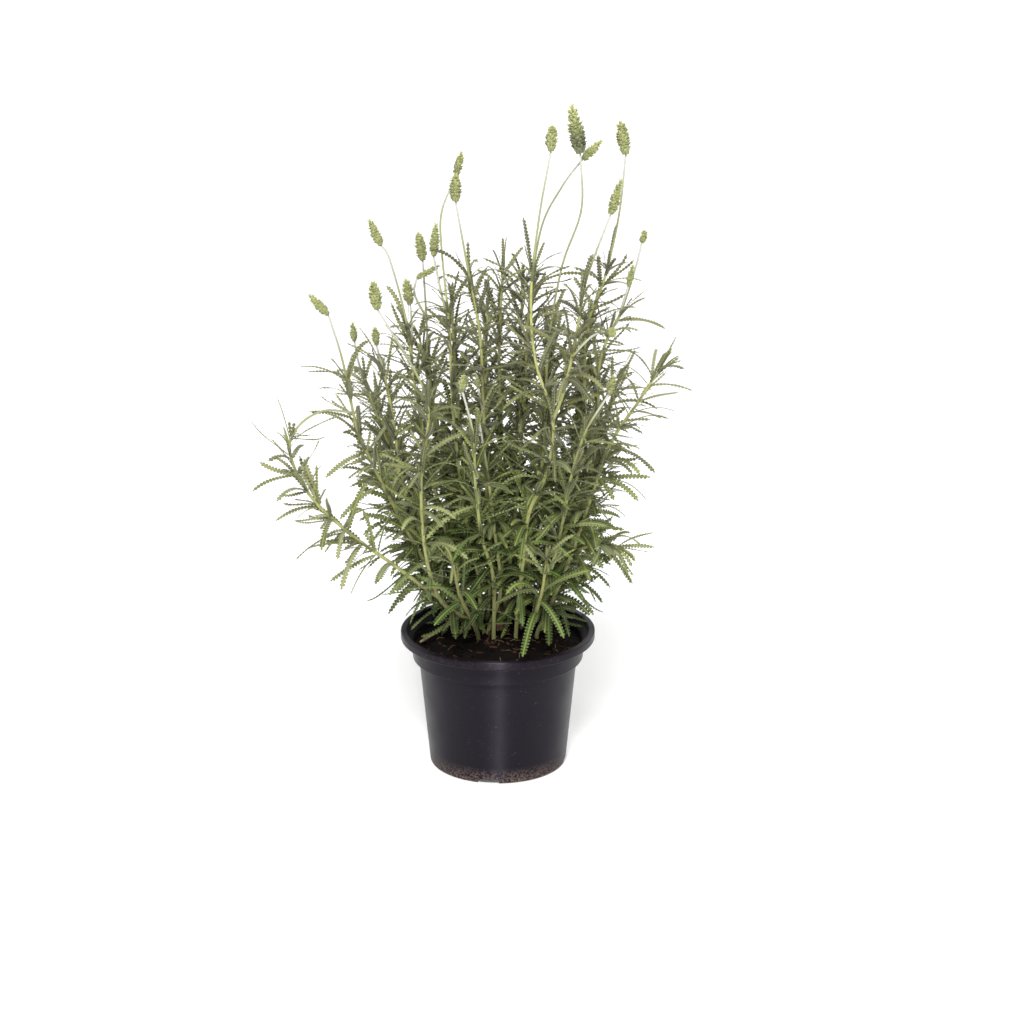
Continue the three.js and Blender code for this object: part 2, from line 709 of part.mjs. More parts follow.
function leafBalls(leaf, owner) {
  const frames = leafSpine(leaf);
  return Array.from({ length: LEAF_BALLS }, (_, i) => {
    const share = blend([FIRST_BALL, 1], i / (LEAF_BALLS - 1));
    return { point: spineAt(frames, share).point, radius: LEAF_REACH, owner, share };
  });
}

// Whether a ball of a leaf is clear of the pot, the soil and the crown
function clearOfPot(point) {
  const fromCrown = Math.hypot(point.x - CROWN_PLACE[0], point.y - CROWN_PLACE[1]);
  if (fromCrown < CROWN_ROOM + LEAF_REACH && point.z < CROWN_TOP + LEAF_REACH) return false;
  const radius = Math.hypot(point.x, point.y);
  if (radius < LIP_INNER_RADIUS - LIP_ROOM) return point.z > SOIL_TOP + LEAF_REACH;
  if (radius < LIP_RADIUS + LIP_ROOM) return point.z > POT_HEIGHT + LEAF_REACH + LEAF_ROOM;
  return point.z > LEAF_REACH + LEAF_ROOM;
}

// Whether the balls of a leaf are clear of the pot and of all others; its own shoot may be near its root
function hasRoom(balls, others) {
  return balls.every((ball) => clearOfPot(ball.point) && others.every((other) => {
    if (other.owner === ball.owner && Math.min(ball.share, other.share) < FREE_OF_OWN) return true;
    const room = ball.radius + other.radius + LEAF_ROOM;
    return ball.point.distanceToSquared(other.point) > room * room;
  }));
}

// Grows the leaves of every strand; a leaf that finds no room in any of its tries is left off
function growLeaves(strands) {
  const taken = strands.flatMap(stemBalls);
  for (const strand of strands) {
    for (const place of leafPlacesOn(strand)) {
      const draw = draws(place.seed);
      for (let attempt = 0; attempt < TRIES; attempt++) {
        const leaf = leafAt(strand, { ...place, turn: place.turn + attempt * TRY_TURN }, draw);
        const balls = leafBalls(leaf, strand.owner);
        if (hasRoom(balls, taken)) {
          strand.leaves.push(leaf);
          taken.push(...balls);
          break;
        }
      }
    }
  }
}

// A flower head: a slim core whose faces each rise to the point of a bract, row above row, under a tuft
function headGeometry(length, width) {
  const rows = Math.max(LEAST_ROWS, Math.round(length * ROWS_PER_MM));
  const rise = length * (1 - TUFT_SHARE) / rows;
  const swell = (row) => width / 2 * Math.sin(Math.PI * blend([0.2, 0.86], row / rows));
  const corners = [];
  const corner = (radius, turn, height) => {
    const angle = 2 * Math.PI * turn / BRACTS;
    corners.push(new THREE.Vector3(radius * Math.cos(angle), radius * Math.sin(angle), height));
    return corners.length - 1;
  };
  const faces = [];
  const raise = (edge, point) => {
    edge.forEach((from, i) => faces.push([from, edge[(i + 1) % edge.length], point]));
  };
  const rings = Array.from({ length: rows + 1 }, (_, row) => (
    Array.from({ length: BRACTS }, (_, i) => corner(CORE_SHARE * swell(row), i + row / 2, row * rise))
  ));
  const middle = corner(0, 0, length * (1 - TUFT_SHARE / 2));
  for (let i = 0; i < BRACTS; i++) {
    const next = (i + 1) % BRACTS;
    for (let row = 0; row < rows; row++) {
      const [low, high] = [rings[row], rings[row + 1]];
      const point = corner(swell(row + 0.5), i + row / 2 + 0.75, (row + BRACT_RISE) * rise);
      raise([low[i], low[next], high[next], high[i]], point);
    }
    const top = last(rings);
    raise([top[i], top[next], middle], corner(TUFT_WIDTH * swell(rows), i + rows / 2 + 0.5, length));
  }
  for (let i = 2; i < BRACTS; i++) faces.push([rings[0][0], rings[0][i], rings[0][i - 1]]);
  return closedGeometry(corners, faces);
}

function headMesh(strand, name) {
  const axis = strand.headAxis();
  const mesh = piece(name, headGeometry(axis.length() - GAP, strand.shoot.head.width), COLORS.head, 0.85);
  axis.normalize();
  mesh.position.copy(strand.end).addScaledVector(axis, GAP);
  mesh.quaternion.setFromUnitVectors(UP, axis);
  return mesh;
}

// Woody crown: a knotty stub with the ends of two old branches
function crownMesh() {
  const height = SOIL_TOP + CROWN_HEIGHT - HOLE_BOTTOM;
  let crown = solid(turned(CROWN_OUTLINE.map(([r, z]) => [r * CROWN_RADIUS, z * height]), CROWN_SIDES));
  for (const branch of CROWN_BRANCHES) {
    const twig = new THREE.CylinderGeometry(branch.radius, branch.radius, branch.length, BRANCH_SIDES);
    twig.rotateX(Math.PI / 2).translate(0, 0, branch.length / 2);
    twig.rotateY(radians(branch.lean)).rotateZ(radians(branch.turn)).translate(0, 0, branch.from);
    crown = crown.add(solid(twig));
  }
  const mesh = piece("crown", geometryOf(crown), COLORS.crown, 0.9);
  mesh.position.set(...CROWN_PLACE, HOLE_BOTTOM);
  return mesh;
}

function dryStickMesh() {
  const [from, to] = [STICK.from, STICK.to].map((place) => new THREE.Vector3(...place, soilHeight(place)));
  const length = from.distanceTo(to);
  const stick = new THREE.CylinderGeometry(STICK.thin, STICK.thick, length, STICK.sides);
  const mesh = piece("dry_stick", stick, COLORS.stick, 0.9);
  mesh.position.copy(from).lerp(to, 0.5).addScaledVector(UP, STICK.thick + 2 * GAP);
  mesh.quaternion.setFromUnitVectors(new THREE.Vector3(0, 1, 0), to.sub(from).normalize());
  return mesh;
}

// A leafy shoot in one piece: its stems and leaves joined
function shootMesh(shoot, strands) {
  let grown = stemSolid(strands[0]);
  for (const side of strands.slice(1)) grown = grown.add(stemSolid(side));
  for (const leaf of strands.flatMap((strand) => strand.leaves)) grown = grown.add(leafSolid(leaf));
  const isLow = Math.max(...shoot.through.map((place) => place[2])) < LOW_SHOOT_HEIGHT;
  const color = isLow ? COLORS.lowLeaf : COLORS.leaf;
  return piece(`shoot_${shoot.name}`, geometryOf(largestBody(grown)), color, 0.8);
}

function plantGroup() {
  const plant = new THREE.Group();
  const strandLists = SHOOTS.map((shoot, order) => (
    [shoot, ...(shoot.sides ?? [])].map((stem, i) => new Strand(stem, shoot.name, order * 4 + i + 1))
  ));
  growLeaves(strandLists.flat());
  SHOOTS.forEach((shoot, order) => {
    plant.add(shootMesh(shoot, strandLists[order]));
    for (const strand of strandLists[order].filter((each) => each.shoot.head)) {
      const side = strand.shoot === shoot ? "" : `_${strand.shoot.name}`;
      plant.add(headMesh(strand, `head_${shoot.name}${side}`));
    }
  });
  return plant;
}

function buildPart() {
  const feet = SHOOTS.map(({ foot: [x, y] }) => ({ x, y, radius: STEM_RADIUS }));
  feet.push({ x: CROWN_PLACE[0], y: CROWN_PLACE[1], radius: CROWN_RADIUS });
  const part = new THREE.Group();
  part.add(piece("pot", potGeometry(), COLORS.pot, 0.45));
  part.add(piece("soil", soilGeometry(feet), COLORS.soil, 0.95));
  part.add(crownMesh(), dryStickMesh(), plantGroup());
  return part;
}

export default buildPart();
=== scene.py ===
# Looks of a fringed lavender growing in a round plastic nursery pot.
# Sizes are in millimetres, and a mesh is scaled to metres when it is made. +Z is up.
import math
import random
from itertools import product

import bpy
import numpy as np
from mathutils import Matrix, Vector, noise


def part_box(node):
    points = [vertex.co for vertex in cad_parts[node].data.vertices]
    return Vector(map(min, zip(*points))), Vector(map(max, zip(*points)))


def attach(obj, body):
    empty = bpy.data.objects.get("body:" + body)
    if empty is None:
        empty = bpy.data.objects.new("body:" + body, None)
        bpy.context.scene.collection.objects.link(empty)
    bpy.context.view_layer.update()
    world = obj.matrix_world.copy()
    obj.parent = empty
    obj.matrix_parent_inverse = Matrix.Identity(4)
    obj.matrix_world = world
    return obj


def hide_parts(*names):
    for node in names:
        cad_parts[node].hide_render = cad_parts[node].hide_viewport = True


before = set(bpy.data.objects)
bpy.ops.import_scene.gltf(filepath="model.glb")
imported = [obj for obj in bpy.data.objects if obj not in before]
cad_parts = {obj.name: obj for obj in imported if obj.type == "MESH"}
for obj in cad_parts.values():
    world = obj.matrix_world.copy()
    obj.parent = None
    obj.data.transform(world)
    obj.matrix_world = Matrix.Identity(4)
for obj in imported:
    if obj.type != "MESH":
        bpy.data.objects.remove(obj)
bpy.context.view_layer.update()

MM = 0.001
UP = np.array([0.0, 0.0, 1.0])
UP_VECTOR = Vector((0, 0, 1))

# Pot and soil
GAP = 0.3
POT_HEIGHT = 100
LIP_RADIUS = 70
LIP_INNER_RADIUS = 65.5
LIP_HEIGHT = 6
COLLAR_RADIUS = 62.3
COLLAR_TAPER = 0.8
COLLAR_BOTTOM = 79.5
BODY_TOP_RADIUS = 57.2
FOOT_RADIUS = 49.6
WALL = 1.4
FLOOR = 2
CHANNEL_DEPTH = 3
CHANNEL_INNER_RADIUS = 30
CHANNEL_OUTER_RADIUS = 46
INNER_FLOOR = CHANNEL_DEPTH + WALL
DRAIN_RADIUS = 4
NOTCH_WIDTH = 15
NOTCH_HEIGHT = 2.6
NOTCH_TURN = -8
SOIL_TOP = 95
SOIL_EDGE = 89
SOIL_RADIUS = 60.3
SOIL_LEVEL_RADIUS = 42.2
HOLE_BOTTOM = 80
CROWN_PLACE = (2, 12)
CROWN_RADIUS = 4.6
CROWN_HEIGHT = 15

# Stems
FOOT_TOP = SOIL_TOP + 3
STEM_RADIUS = 1.9
SIDE_STEM_RADIUS = 1.5
STALK_RADIUS = 1.05
CURVE_STEPS = 12

# Leaves; pairs of values go from the lowest leaves of a shoot to its highest
PAIR_STEP = 40
PAIR_TURN = 97
STRAND_TURN = 25
LEAF_LENGTH = (42, 37)
LEAF_WIDTH = (5.8, 3.7)
LEAF_LEAN = (68, 42)
LEAF_SAG = (1.2, 0.75)
LEAF_ROOT = 1
SPINE_STEPS = 16
TIP_LEAF_SHARE = 0.62
TIP_LEAF_RISE = 0.45
TIP_LEAF_DROP = 1.5
STRAY = {"turn": (-12, 12), "lean": (-26, 26), "roll": (-40, 40), "length": (0.8, 1.2), "sag": (0.3, 1.5)}

# Room that a leaf keeps to what is near it
LEAF_REACH = 2.4
LEAF_ROOM = 0.6
LEAF_BALLS = 9
FIRST_BALL = 0.16
FREE_OF_OWN = 0.4
STEM_BALL_STEP = 3
HEAD_BALLS = 7
LIP_ROOM = 4
CROWN_ROOM = 7
CROWN_TOP = 114
TRIES = 14
TRY_TURN = 7
MOST_BALLS = 60000

# What the seed of a leaf's draws is made of: its strand, its pair and what kind of leaf it is
STRAND_SEED = 1000
PAIR_SEED = 10
BETWEEN_SEED = 500
CLUSTER_SEED = 20000
TIP_SEED = 40000
LOW_SEED = 60000


def stem(name, leafy, through, head=None, **more):
    """The values of one shoot or side shoot."""
    made = {"name": name, "leafy": leafy, "through": through, **more}
    if head:
        made["head"] = {"tip": head[:3], "width": head[3]}
    return made


# Shoots. foot is where the stem leaves the soil, and through are the points that it passes on its way to
# its tip. leafy is the share of the length that carries leaves; the bare rest above it is a flower stalk.
# head is the tip and then the width of the flower head at the end of the stalk. sides are shoots grown from
# the stem. turn, where a shoot has one, turns its pairs of leaves by that many degrees.
SHOOTS = [
    stem(
        "left_front", foot=(-10, 4), leafy=(0.16, 0.76), head=(-83, -42, 362, 8.7),
        through=[(-24, -8, 111), (-41, -24, 131), (-50, -38, 170), (-52, -48, 225), (-46, -54, 275),
                 (-54, -52, 301), (-80, -42, 343)],
        sides=[
            stem(
                "arch", leafy=(0.1, 0.76), turn=90,
                through=[(-41, -24, 131), (-71, -36, 159), (-102, -42, 185), (-128, -48, 214),
                         (-141, -49, 245), (-135, -46, 263), (-118, -43, 273), (-98, -40, 271)],
            ),
        ],
    ),
    stem(
        "front_left", foot=(-3, -8), leafy=(0.2, 0.84), head=(-22, -60, 302, 7),
        through=[(-3, -20, 145), (-11, -36, 182), (-15, -48, 225), (-16, -56, 260), (-23, -60, 291)],
    ),
    stem(
        "front_mid", foot=(-7, 1), leafy=(0.25, 0.8), head=(-14, -38, 274, 5),
        through=[(2, -8, 132), (-2, -20, 180), (-7, -31, 228), (-12, -38, 263)],
    ),
    stem(
        "front_right", foot=(13, -7), leafy=(0.12, 0.78), head=(37, -24, 463, 8.7),
        through=[(15, -14, 125), (18, -26, 160), (22, -36, 198), (34, -44, 230), (38, -50, 268),
                 (26, -42, 308), (23, -32, 350), (28, -27, 400), (36, -24, 446)],
        sides=[
            stem(
                "fork", leafy=(0.12, 0.58), head=(83, -30, 429, 7.2),
                through=[(38, -50, 268), (46, -52, 292), (54, -45, 330), (60, -37, 362), (76, -30, 405)],
            ),
            stem(
                "nod", leafy=(1, 0), head=(80, -38, 326, 7),
                through=[(50, -49, 311), (58, -46, 320), (66, -42, 326), (73, -38, 327)],
            ),
        ],
    ),
    stem(
        "right_front", foot=(22, 0), leafy=(0.16, 0.86), head=(78, -60, 302, 6.5),
        through=[(30, -9, 122), (38, -25, 154), (44, -34, 184), (51, -48, 229), (60, -56, 262),
                 (75, -60, 289)],
    ),
    stem(
        "middle_tall", foot=(13, 15), leafy=(0.22, 0.65), head=(50, -12, 475, 10.8),
        through=[(17, 4, 135), (28, -6, 190), (33, -12, 250), (35, -14, 310), (44, -14, 366),
                 (57, -12, 405), (56, -12, 443)],
    ),
    stem(
        "middle_lean", foot=(4, 23), leafy=(0.2, 0.73), head=(71, 8, 449, 7.2),
        through=[(9, 18, 146), (14, 14, 200), (19, 11, 270), (22, 8, 332), (30, 8, 388), (44, 8, 417),
                 (58, 8, 436)],
    ),
    stem(
        "right_tall", foot=(24, 13), leafy=(0.14, 0.78), head=(83, -2, 463, 9.4),
        through=[(36, 10, 141), (50, 8, 190), (60, 6, 255), (62, 2, 319), (74, -2, 357), (83, -2, 400),
                 (87, -2, 441)],
    ),
    stem(
        "right_pale", foot=(31, 8), leafy=(0.14, 0.82), head=(100, -16, 392, 5.5),
        through=[(43, 4, 135), (58, -5, 180), (69, -14, 245), (71, -16, 302), (85, -16, 337),
                 (94, -16, 366), (98, -16, 383)],
        sides=[
            stem(
                "fork", leafy=(1, 0), head=(92, -24, 370, 5),
                through=[(84, -16, 335), (89, -24, 355)],
            ),
        ],
    ),
    stem(
        "right_outer", foot=(28, -5), leafy=(0.12, 1),
        through=[(40, -9, 126), (53, -13, 162), (66, -17, 205), (80, -20, 246), (96, -22, 272),
                 (112, -22, 298)],
        sides=[
            stem(
                "low", leafy=(0.6, 1),
                through=[(53, -13, 162), (69, -24, 171), (84, -34, 172)],
            ),
        ],
    ),
    stem(
        "right_inner", foot=(13, 26), leafy=(0.2, 1),
        through=[(31, 25, 143), (46, 26, 190), (56, 30, 240), (60, 33, 285), (66, 34, 310)],
    ),
    stem(
        "left_tall", foot=(-7, 19), leafy=(0.22, 0.84), head=(-28, -8, 429, 8.7),
        through=[(-5, 8, 149), (-8, 0, 210), (-10, -8, 272), (-12, -10, 320), (-20, -10, 365),
                 (-28, -8, 410)],
        sides=[
            stem(
                "bud", leafy=(1, 0), head=(-14, -20, 292, 4.5),
                through=[(-10, -7, 262), (-13, -20, 283)],
            ),
        ],
    ),
    stem(
        "left_twin", foot=(-12, 13), leafy=(0.2, 0.72), head=(-24, 14, 441, 6.5),
        through=[(-15, 12, 140), (-24, 6, 190), (-31, 0, 260), (-33, -3, 320), (-38, 2, 375),
                 (-38, 10, 400), (-28, 14, 424)],
        sides=[
            stem(
                "fork", leafy=(1, 0), head=(-42, 12, 392, 7.2),
                through=[(-33, -2, 322), (-40, 8, 350), (-44, 12, 369)],
            ),
        ],
    ),
    stem(
        "left_inner", foot=(-2, 26), leafy=(0.26, 1),
        through=[(-14, 24, 140), (-23, 22, 200), (-28, 19, 260), (-31, 17, 312), (-32, 16, 338)],
    ),
    stem(
        "left_lean", foot=(-15, 22), leafy=(0.16, 0.79), head=(-88, 8, 395, 7.2),
        through=[(-26, 22, 129), (-42, 18, 185), (-56, 12, 262), (-63, 8, 322), (-74, 8, 367),
                 (-80, 8, 377)],
        sides=[
            stem(
                "fork", leafy=(1, 0), head=(-64, 21, 351, 8),
                through=[(-60, 10, 300), (-60, 18, 320), (-61, 21, 333)],
            ),
        ],
    ),
    stem(
        "left_back", foot=(-8, 31), leafy=(0.2, 0.74), head=(-55, 26, 383, 8),
        through=[(-21, 32, 141), (-36, 34, 200), (-48, 31, 275), (-50, 28, 322), (-52, 26, 363)],
        sides=[
            stem(
                "bent", leafy=(1, 0), head=(-40, 20, 361, 5.5),
                through=[(-50, 28, 322), (-58, 23, 340), (-56, 19, 352)],
            ),
        ],
    ),
    stem(
        "left_mid", foot=(-22, 28), leafy=(0.14, 0.92), head=(-86, 20, 317, 6.5),
        through=[(-34, 27, 122), (-54, 26, 155), (-68, 23, 205), (-77, 20, 268), (-85, 20, 304)],
    ),
    stem(
        "left_far", foot=(-21, 12), leafy=(0.12, 0.82), head=(-129, -8, 346, 7.2),
        through=[(-40, 9, 128), (-61, 4, 165), (-86, -4, 220), (-98, -8, 252), (-107, -8, 300),
                 (-116, -8, 332)],
    ),
    stem(
        "left_pale", foot=(-19, 37), leafy=(0.16, 0.86), head=(-103, 40, 316, 5.8),
        through=[(-37, 37, 130), (-60, 40, 175), (-85, 42, 243), (-98, 40, 282), (-102, 40, 302)],
    ),
    stem(
        "middle_fan", foot=(3, 33), leafy=(0.2, 1),
        through=[(3, 32, 150), (2, 30, 215), (1, 28, 280), (2, 26, 325), (4, 24, 354)],
    ),
    stem(
        "back_fan", foot=(8, 29), leafy=(0.56, 1),
        through=[(11, 29, 150), (13, 32, 215), (15, 34, 280), (17, 34, 325), (18, 34, 345)],
    ),
    stem(
        "back_right", foot=(14, 36), leafy=(0.14, 1),
        through=[(24, 52, 150), (34, 70, 215), (38, 84, 270), (40, 92, 300)],
    ),
    stem(
        "back_mid", foot=(-4, 42), leafy=(0.14, 1),
        through=[(-6, 58, 145), (-8, 78, 215), (-9, 94, 275), (-8, 104, 312)],
    ),
    stem(
        "back_wide", foot=(25, 32), leafy=(0.16, 1),
        through=[(44, 50, 140), (64, 68, 190), (80, 82, 238), (89, 90, 262)],
    ),
    stem(
        "back_left_low", foot=(-30, 38), leafy=(0.16, 1),
        through=[(-50, 56, 135), (-70, 74, 180), (-84, 90, 225), (-91, 99, 245)],
    ),
    stem(
        "back_low", foot=(10, 46), leafy=(0.3, 1),
        through=[(14, 74, 128), (18, 98, 150), (22, 116, 165)],
    ),
    stem(
        "right_low", foot=(34, 20), leafy=(0.24, 1),
        through=[(48, 38, 124), (58, 56, 152), (65, 72, 188), (68, 82, 216)],
    ),
    stem(
        "left_low", foot=(-32, 22), leafy=(0.24, 1),
        through=[(-50, 34, 122), (-66, 46, 148), (-78, 58, 182), (-84, 66, 208)],
    ),
    stem(
        "front_low_right", foot=(20, -14), leafy=(0.5, 1),
        through=[(26, -36, 122), (31, -56, 148), (34, -66, 174)],
    ),
    stem(
        "front_low_left", foot=(-14, -9), leafy=(0.5, 1),
        through=[(-20, -34, 122), (-26, -56, 145), (-30, -70, 172)],
    ),
    stem(
        "back_left", foot=(-15, 46), leafy=(0.14, 1),
        through=[(-26, 60, 150), (-42, 74, 210), (-52, 84, 265), (-58, 90, 295)],
    ),
]

WORD = 0xFFFFFFFF
DRAW_STEP = 0x6D2B79F5


def draws(seed):
    """A repeatable stream of numbers from 0 to 1, the same as in the part's source."""
    state = seed & WORD
    while True:
        state = (state + DRAW_STEP) & WORD
        mixed = ((state ^ (state >> 15)) * (1 | state)) & WORD
        mixed = ((mixed + (((mixed ^ (mixed >> 7)) * (61 | mixed)) & WORD)) & WORD) ^ mixed
        yield (mixed ^ (mixed >> 14)) / (WORD + 1)


def vector(place):
    return np.array(place, float)


def blend(pair, share):
    """A value between the two of a pair."""
    return pair[0] + (pair[1] - pair[0]) * share


def unit(v):
    return v / np.linalg.norm(v)


def smooth(edge0, edge1, value):
    """A soft step from 0 at one edge to 1 at the other."""
    t = np.clip((value - edge0) / (edge1 - edge0), 0, 1)
    return t * t * (3 - 2 * t)


def rotated(v, axis, angle):
    """A direction turned about an axis by an angle in radians."""
    along = axis * (axis @ v)
    return v * math.cos(angle) + np.cross(axis, v) * math.sin(angle) + along * (1 - math.cos(angle))


def fine_path(shoot):
    """Points close together along the smooth curve of a shoot, with its straight foot where it has one."""
    places = [vector(p) for p in shoot["through"]]
    if "foot" in shoot:
        places.insert(0, vector([*shoot["foot"], FOOT_TOP]))
    ends = [2 * places[0] - places[1], *places, 2 * places[-1] - places[-2]]
    points = []
    for i in range(len(places) - 1):
        before, a, b, after = ends[i : i + 4]
        leave, arrive = (b - before) / 2, (after - a) / 2
        square = 3 * (b - a) - 2 * leave - arrive
        cube = 2 * (a - b) + leave + arrive
        is_last = i == len(places) - 2
        for step in range(CURVE_STEPS + is_last):
            t = step / CURVE_STEPS
            points.append(a + leave * t + square * t**2 + cube * t**3)
    if "foot" in shoot:
        points.insert(0, vector([*shoot["foot"], HOLE_BOTTOM]))
    return np.array(points)


class Strand:
    """One stem: a shoot's own stem or one of its side stems."""

    def __init__(self, shoot, owner, order):
        self.shoot, self.owner, self.order = shoot, owner, order
        self.points = fine_path(shoot)
        steps = np.linalg.norm(np.diff(self.points, axis=0), axis=1)
        self.lengths = np.concatenate([[0], np.cumsum(steps)])
        self.length = self.lengths[-1]
        self.end = self.points[-1]
        self.leaves = []

    def place(self, distance):
        """The point at a distance along the stem, and the direction of the stem there."""
        i = 1
        while i < len(self.lengths) - 1 and self.lengths[i] < distance:
            i += 1
        share = (distance - self.lengths[i - 1]) / (self.lengths[i] - self.lengths[i - 1])
        point = self.points[i - 1] + (self.points[i] - self.points[i - 1]) * share
        return point, unit(self.points[i] - self.points[i - 1])

    def radius(self, distance):
        start = STEM_RADIUS if "foot" in self.shoot else SIDE_STEM_RADIUS
        leafy_end = self.shoot["leafy"][1] * self.length
        return blend((start, STALK_RADIUS), distance / leafy_end if distance < leafy_end else 1)

    def head_axis(self):
        return vector(self.shoot["head"]["tip"]) - self.end


def across(along):
    """Two directions across a stem that runs along the given direction."""
    sideways = unit(np.array([0.0, 1.0, 0.0]) - along * along[1])
    return sideways, np.cross(along, sideways)


def leaf_spine(leaf):
    """The middle line of a leaf: its points, and the directions up from it and sideways there."""
    points, uppers, sides = [], [], []
    point, upper = leaf["root"], leaf["upper"]
    for i in range(SPINE_STEPS + 1):
        share = i / SPINE_STEPS
        along = unit(leaf["direction"] - UP * (leaf["sag"] * share - leaf["curl"] * share**3))
        upper = unit(upper - along * (upper @ along))
        points.append(point)
        uppers.append(upper)
        sides.append(np.cross(upper, along))
        point = point + along * (leaf["length"] / SPINE_STEPS)
    return np.array(points), np.array(uppers), np.array(sides)


def leaf_places_on(strand):
    """The pairs of main leaves along a strand, from the highest down, each turned from the one above."""
    low, high = [share * strand.length for share in strand.shoot["leafy"]]
    places, pair = [], 0
    while high > low and pair * PAIR_STEP <= high - low:
        at_tip = pair == 0 and high == strand.length
        for half in (0, 1):
            places.append({
                "distance": high - pair * PAIR_STEP - (TIP_LEAF_DROP if at_tip else 0),
                "turn": strand.shoot.get("turn", strand.order * STRAND_TURN) + pair * PAIR_TURN + half * 180,
                "share": 1 - pair * PAIR_STEP / (high - low),
                "seed": strand.order * STRAND_SEED + pair * PAIR_SEED + half,
                "at_tip": at_tip,
            })
        pair += 1
    return places


def leaf_at(strand, place, draw):
    """One leaf at its place on a strand, held as the draws say."""
    stray = {name: blend(STRAY[name], next(draw)) for name in STRAY}
    point, along = strand.place(place["distance"])
    first, second = across(along)
    turn = math.radians(place["turn"] + stray["turn"])
    lean = math.radians(blend(LEAF_LEAN, place["share"]) + place.get("rise", 0) + stray["lean"])
    away = first * math.cos(turn) + second * math.sin(turn)
    direction = along * math.cos(lean) + away * math.sin(lean)
    if place["at_tip"]:
        direction = unit(direction + along * TIP_LEAF_RISE)
    scale = (TIP_LEAF_SHARE if place["at_tip"] else 1) * place.get("scale", 1)
    return {
        "root": point,
        "direction": direction,
        "upper": rotated(along * 0.5 + UP, direction, math.radians(stray["roll"])),
        "length": blend(LEAF_LENGTH, place["share"]) * stray["length"] * scale,
        "width": blend(LEAF_WIDTH, place["share"]) * place.get("breadth", 1),
        "sag": blend(LEAF_SAG, place["share"]) * stray["sag"],
        "share": place["share"],
        "young": place.get("young", 0),
        "curl": place.get("curl", 0),
    }


class Room:
    """Balls that stand for what has grown, in which a leaf looks for room."""

    def __init__(self):
        self.count = 0
        self.places = np.zeros((MOST_BALLS, 3))
        self.radii = np.zeros(MOST_BALLS)
        self.owners = np.zeros(MOST_BALLS, int)
        self.shares = np.zeros(MOST_BALLS)

    def add(self, places, radii, owner, shares):
        """Adds balls. owner is the number of their shoot, and shares are how far out on its leaf each is."""
        span = slice(self.count, self.count + len(places))
        self.places[span], self.radii[span] = places, radii
        self.owners[span], self.shares[span] = owner, shares
        self.count += len(places)

    def free(self, balls, reach, owner, shares, room):
        """Whether balls are clear of the pot and of all others, apart from their own shoot at its root."""
        if not all(clear_of_pot(ball, reach, room) for ball in balls):
            return False
        span = slice(0, self.count)
        apart = ((self.places[None, span] - balls[:, None]) ** 2).sum(2)
        near = apart <= (self.radii[span] + reach + room) ** 2
        at_root = np.minimum(self.shares[None, span], shares[:, None]) < FREE_OF_OWN
        own = (self.owners[span] == owner) & at_root
        return not (near & ~own).any()


def clear_of_pot(point, reach, room):
    """Whether a ball is clear of the crown, the soil, the pot and the ground."""
    from_crown = math.hypot(point[0] - CROWN_PLACE[0], point[1] - CROWN_PLACE[1])
    if from_crown < CROWN_ROOM + reach and point[2] < CROWN_TOP + reach:
        return False
    radius = math.hypot(point[0], point[1])
    if radius < LIP_INNER_RADIUS - LIP_ROOM:
        return point[2] > SOIL_TOP + reach
    if radius < LIP_RADIUS + LIP_ROOM:
        return point[2] > POT_HEIGHT + reach + room
    return point[2] > reach + room


def leaf_balls(leaf, count=LEAF_BALLS):
    """The places of the balls along a leaf, and how far out each is."""
    points = leaf_spine(leaf)[0]
    shares = np.linspace(FIRST_BALL, 1, count)
    steps = shares * SPINE_STEPS
    low = np.minimum(steps.astype(int), SPINE_STEPS - 1)
    return points[low] + (points[low + 1] - points[low]) * (steps - low)[:, None], shares


def add_stem(room, strand):
    """Takes the room of a stem and of its flower head."""
    distances = np.arange(0, strand.length, STEM_BALL_STEP)
    places = np.array([strand.place(d)[0] for d in distances])
    room.add(places, np.array([strand.radius(d) for d in distances]), strand.owner, 1)
    if "head" in strand.shoot:
        along = np.linspace(0, 1, HEAD_BALLS)[:, None]
        room.add(strand.end + strand.head_axis() * along, strand.shoot["head"]["width"] / 2, -1, 1)


def grow(room, strand, place, reach=LEAF_REACH, gap=LEAF_ROOM, tries=TRIES, count=LEAF_BALLS):
    """Adds a leaf to a strand if it finds room in one of its tries."""
    draw = draws(place["seed"])
    for attempt in range(tries):
        leaf = leaf_at(strand, {**place, "turn": place["turn"] + attempt * TRY_TURN}, draw)
        balls, shares = leaf_balls(leaf, count)
        if room.free(balls, reach, strand.owner, shares, gap):
            strand.leaves.append(leaf)
            room.add(balls, reach, strand.owner, shares)
            return


def linked(name, data):
    """A new object in the scene, with the given mesh, lamp or camera."""
    made = bpy.data.objects.new(name, data)
    bpy.context.scene.collection.objects.link(made)
    return made


# What the paint reads at a corner where a shape says nothing
PLAIN_TONE = (0.5, 0, 0)
PLAIN_PLACE = (0, 0, 0)


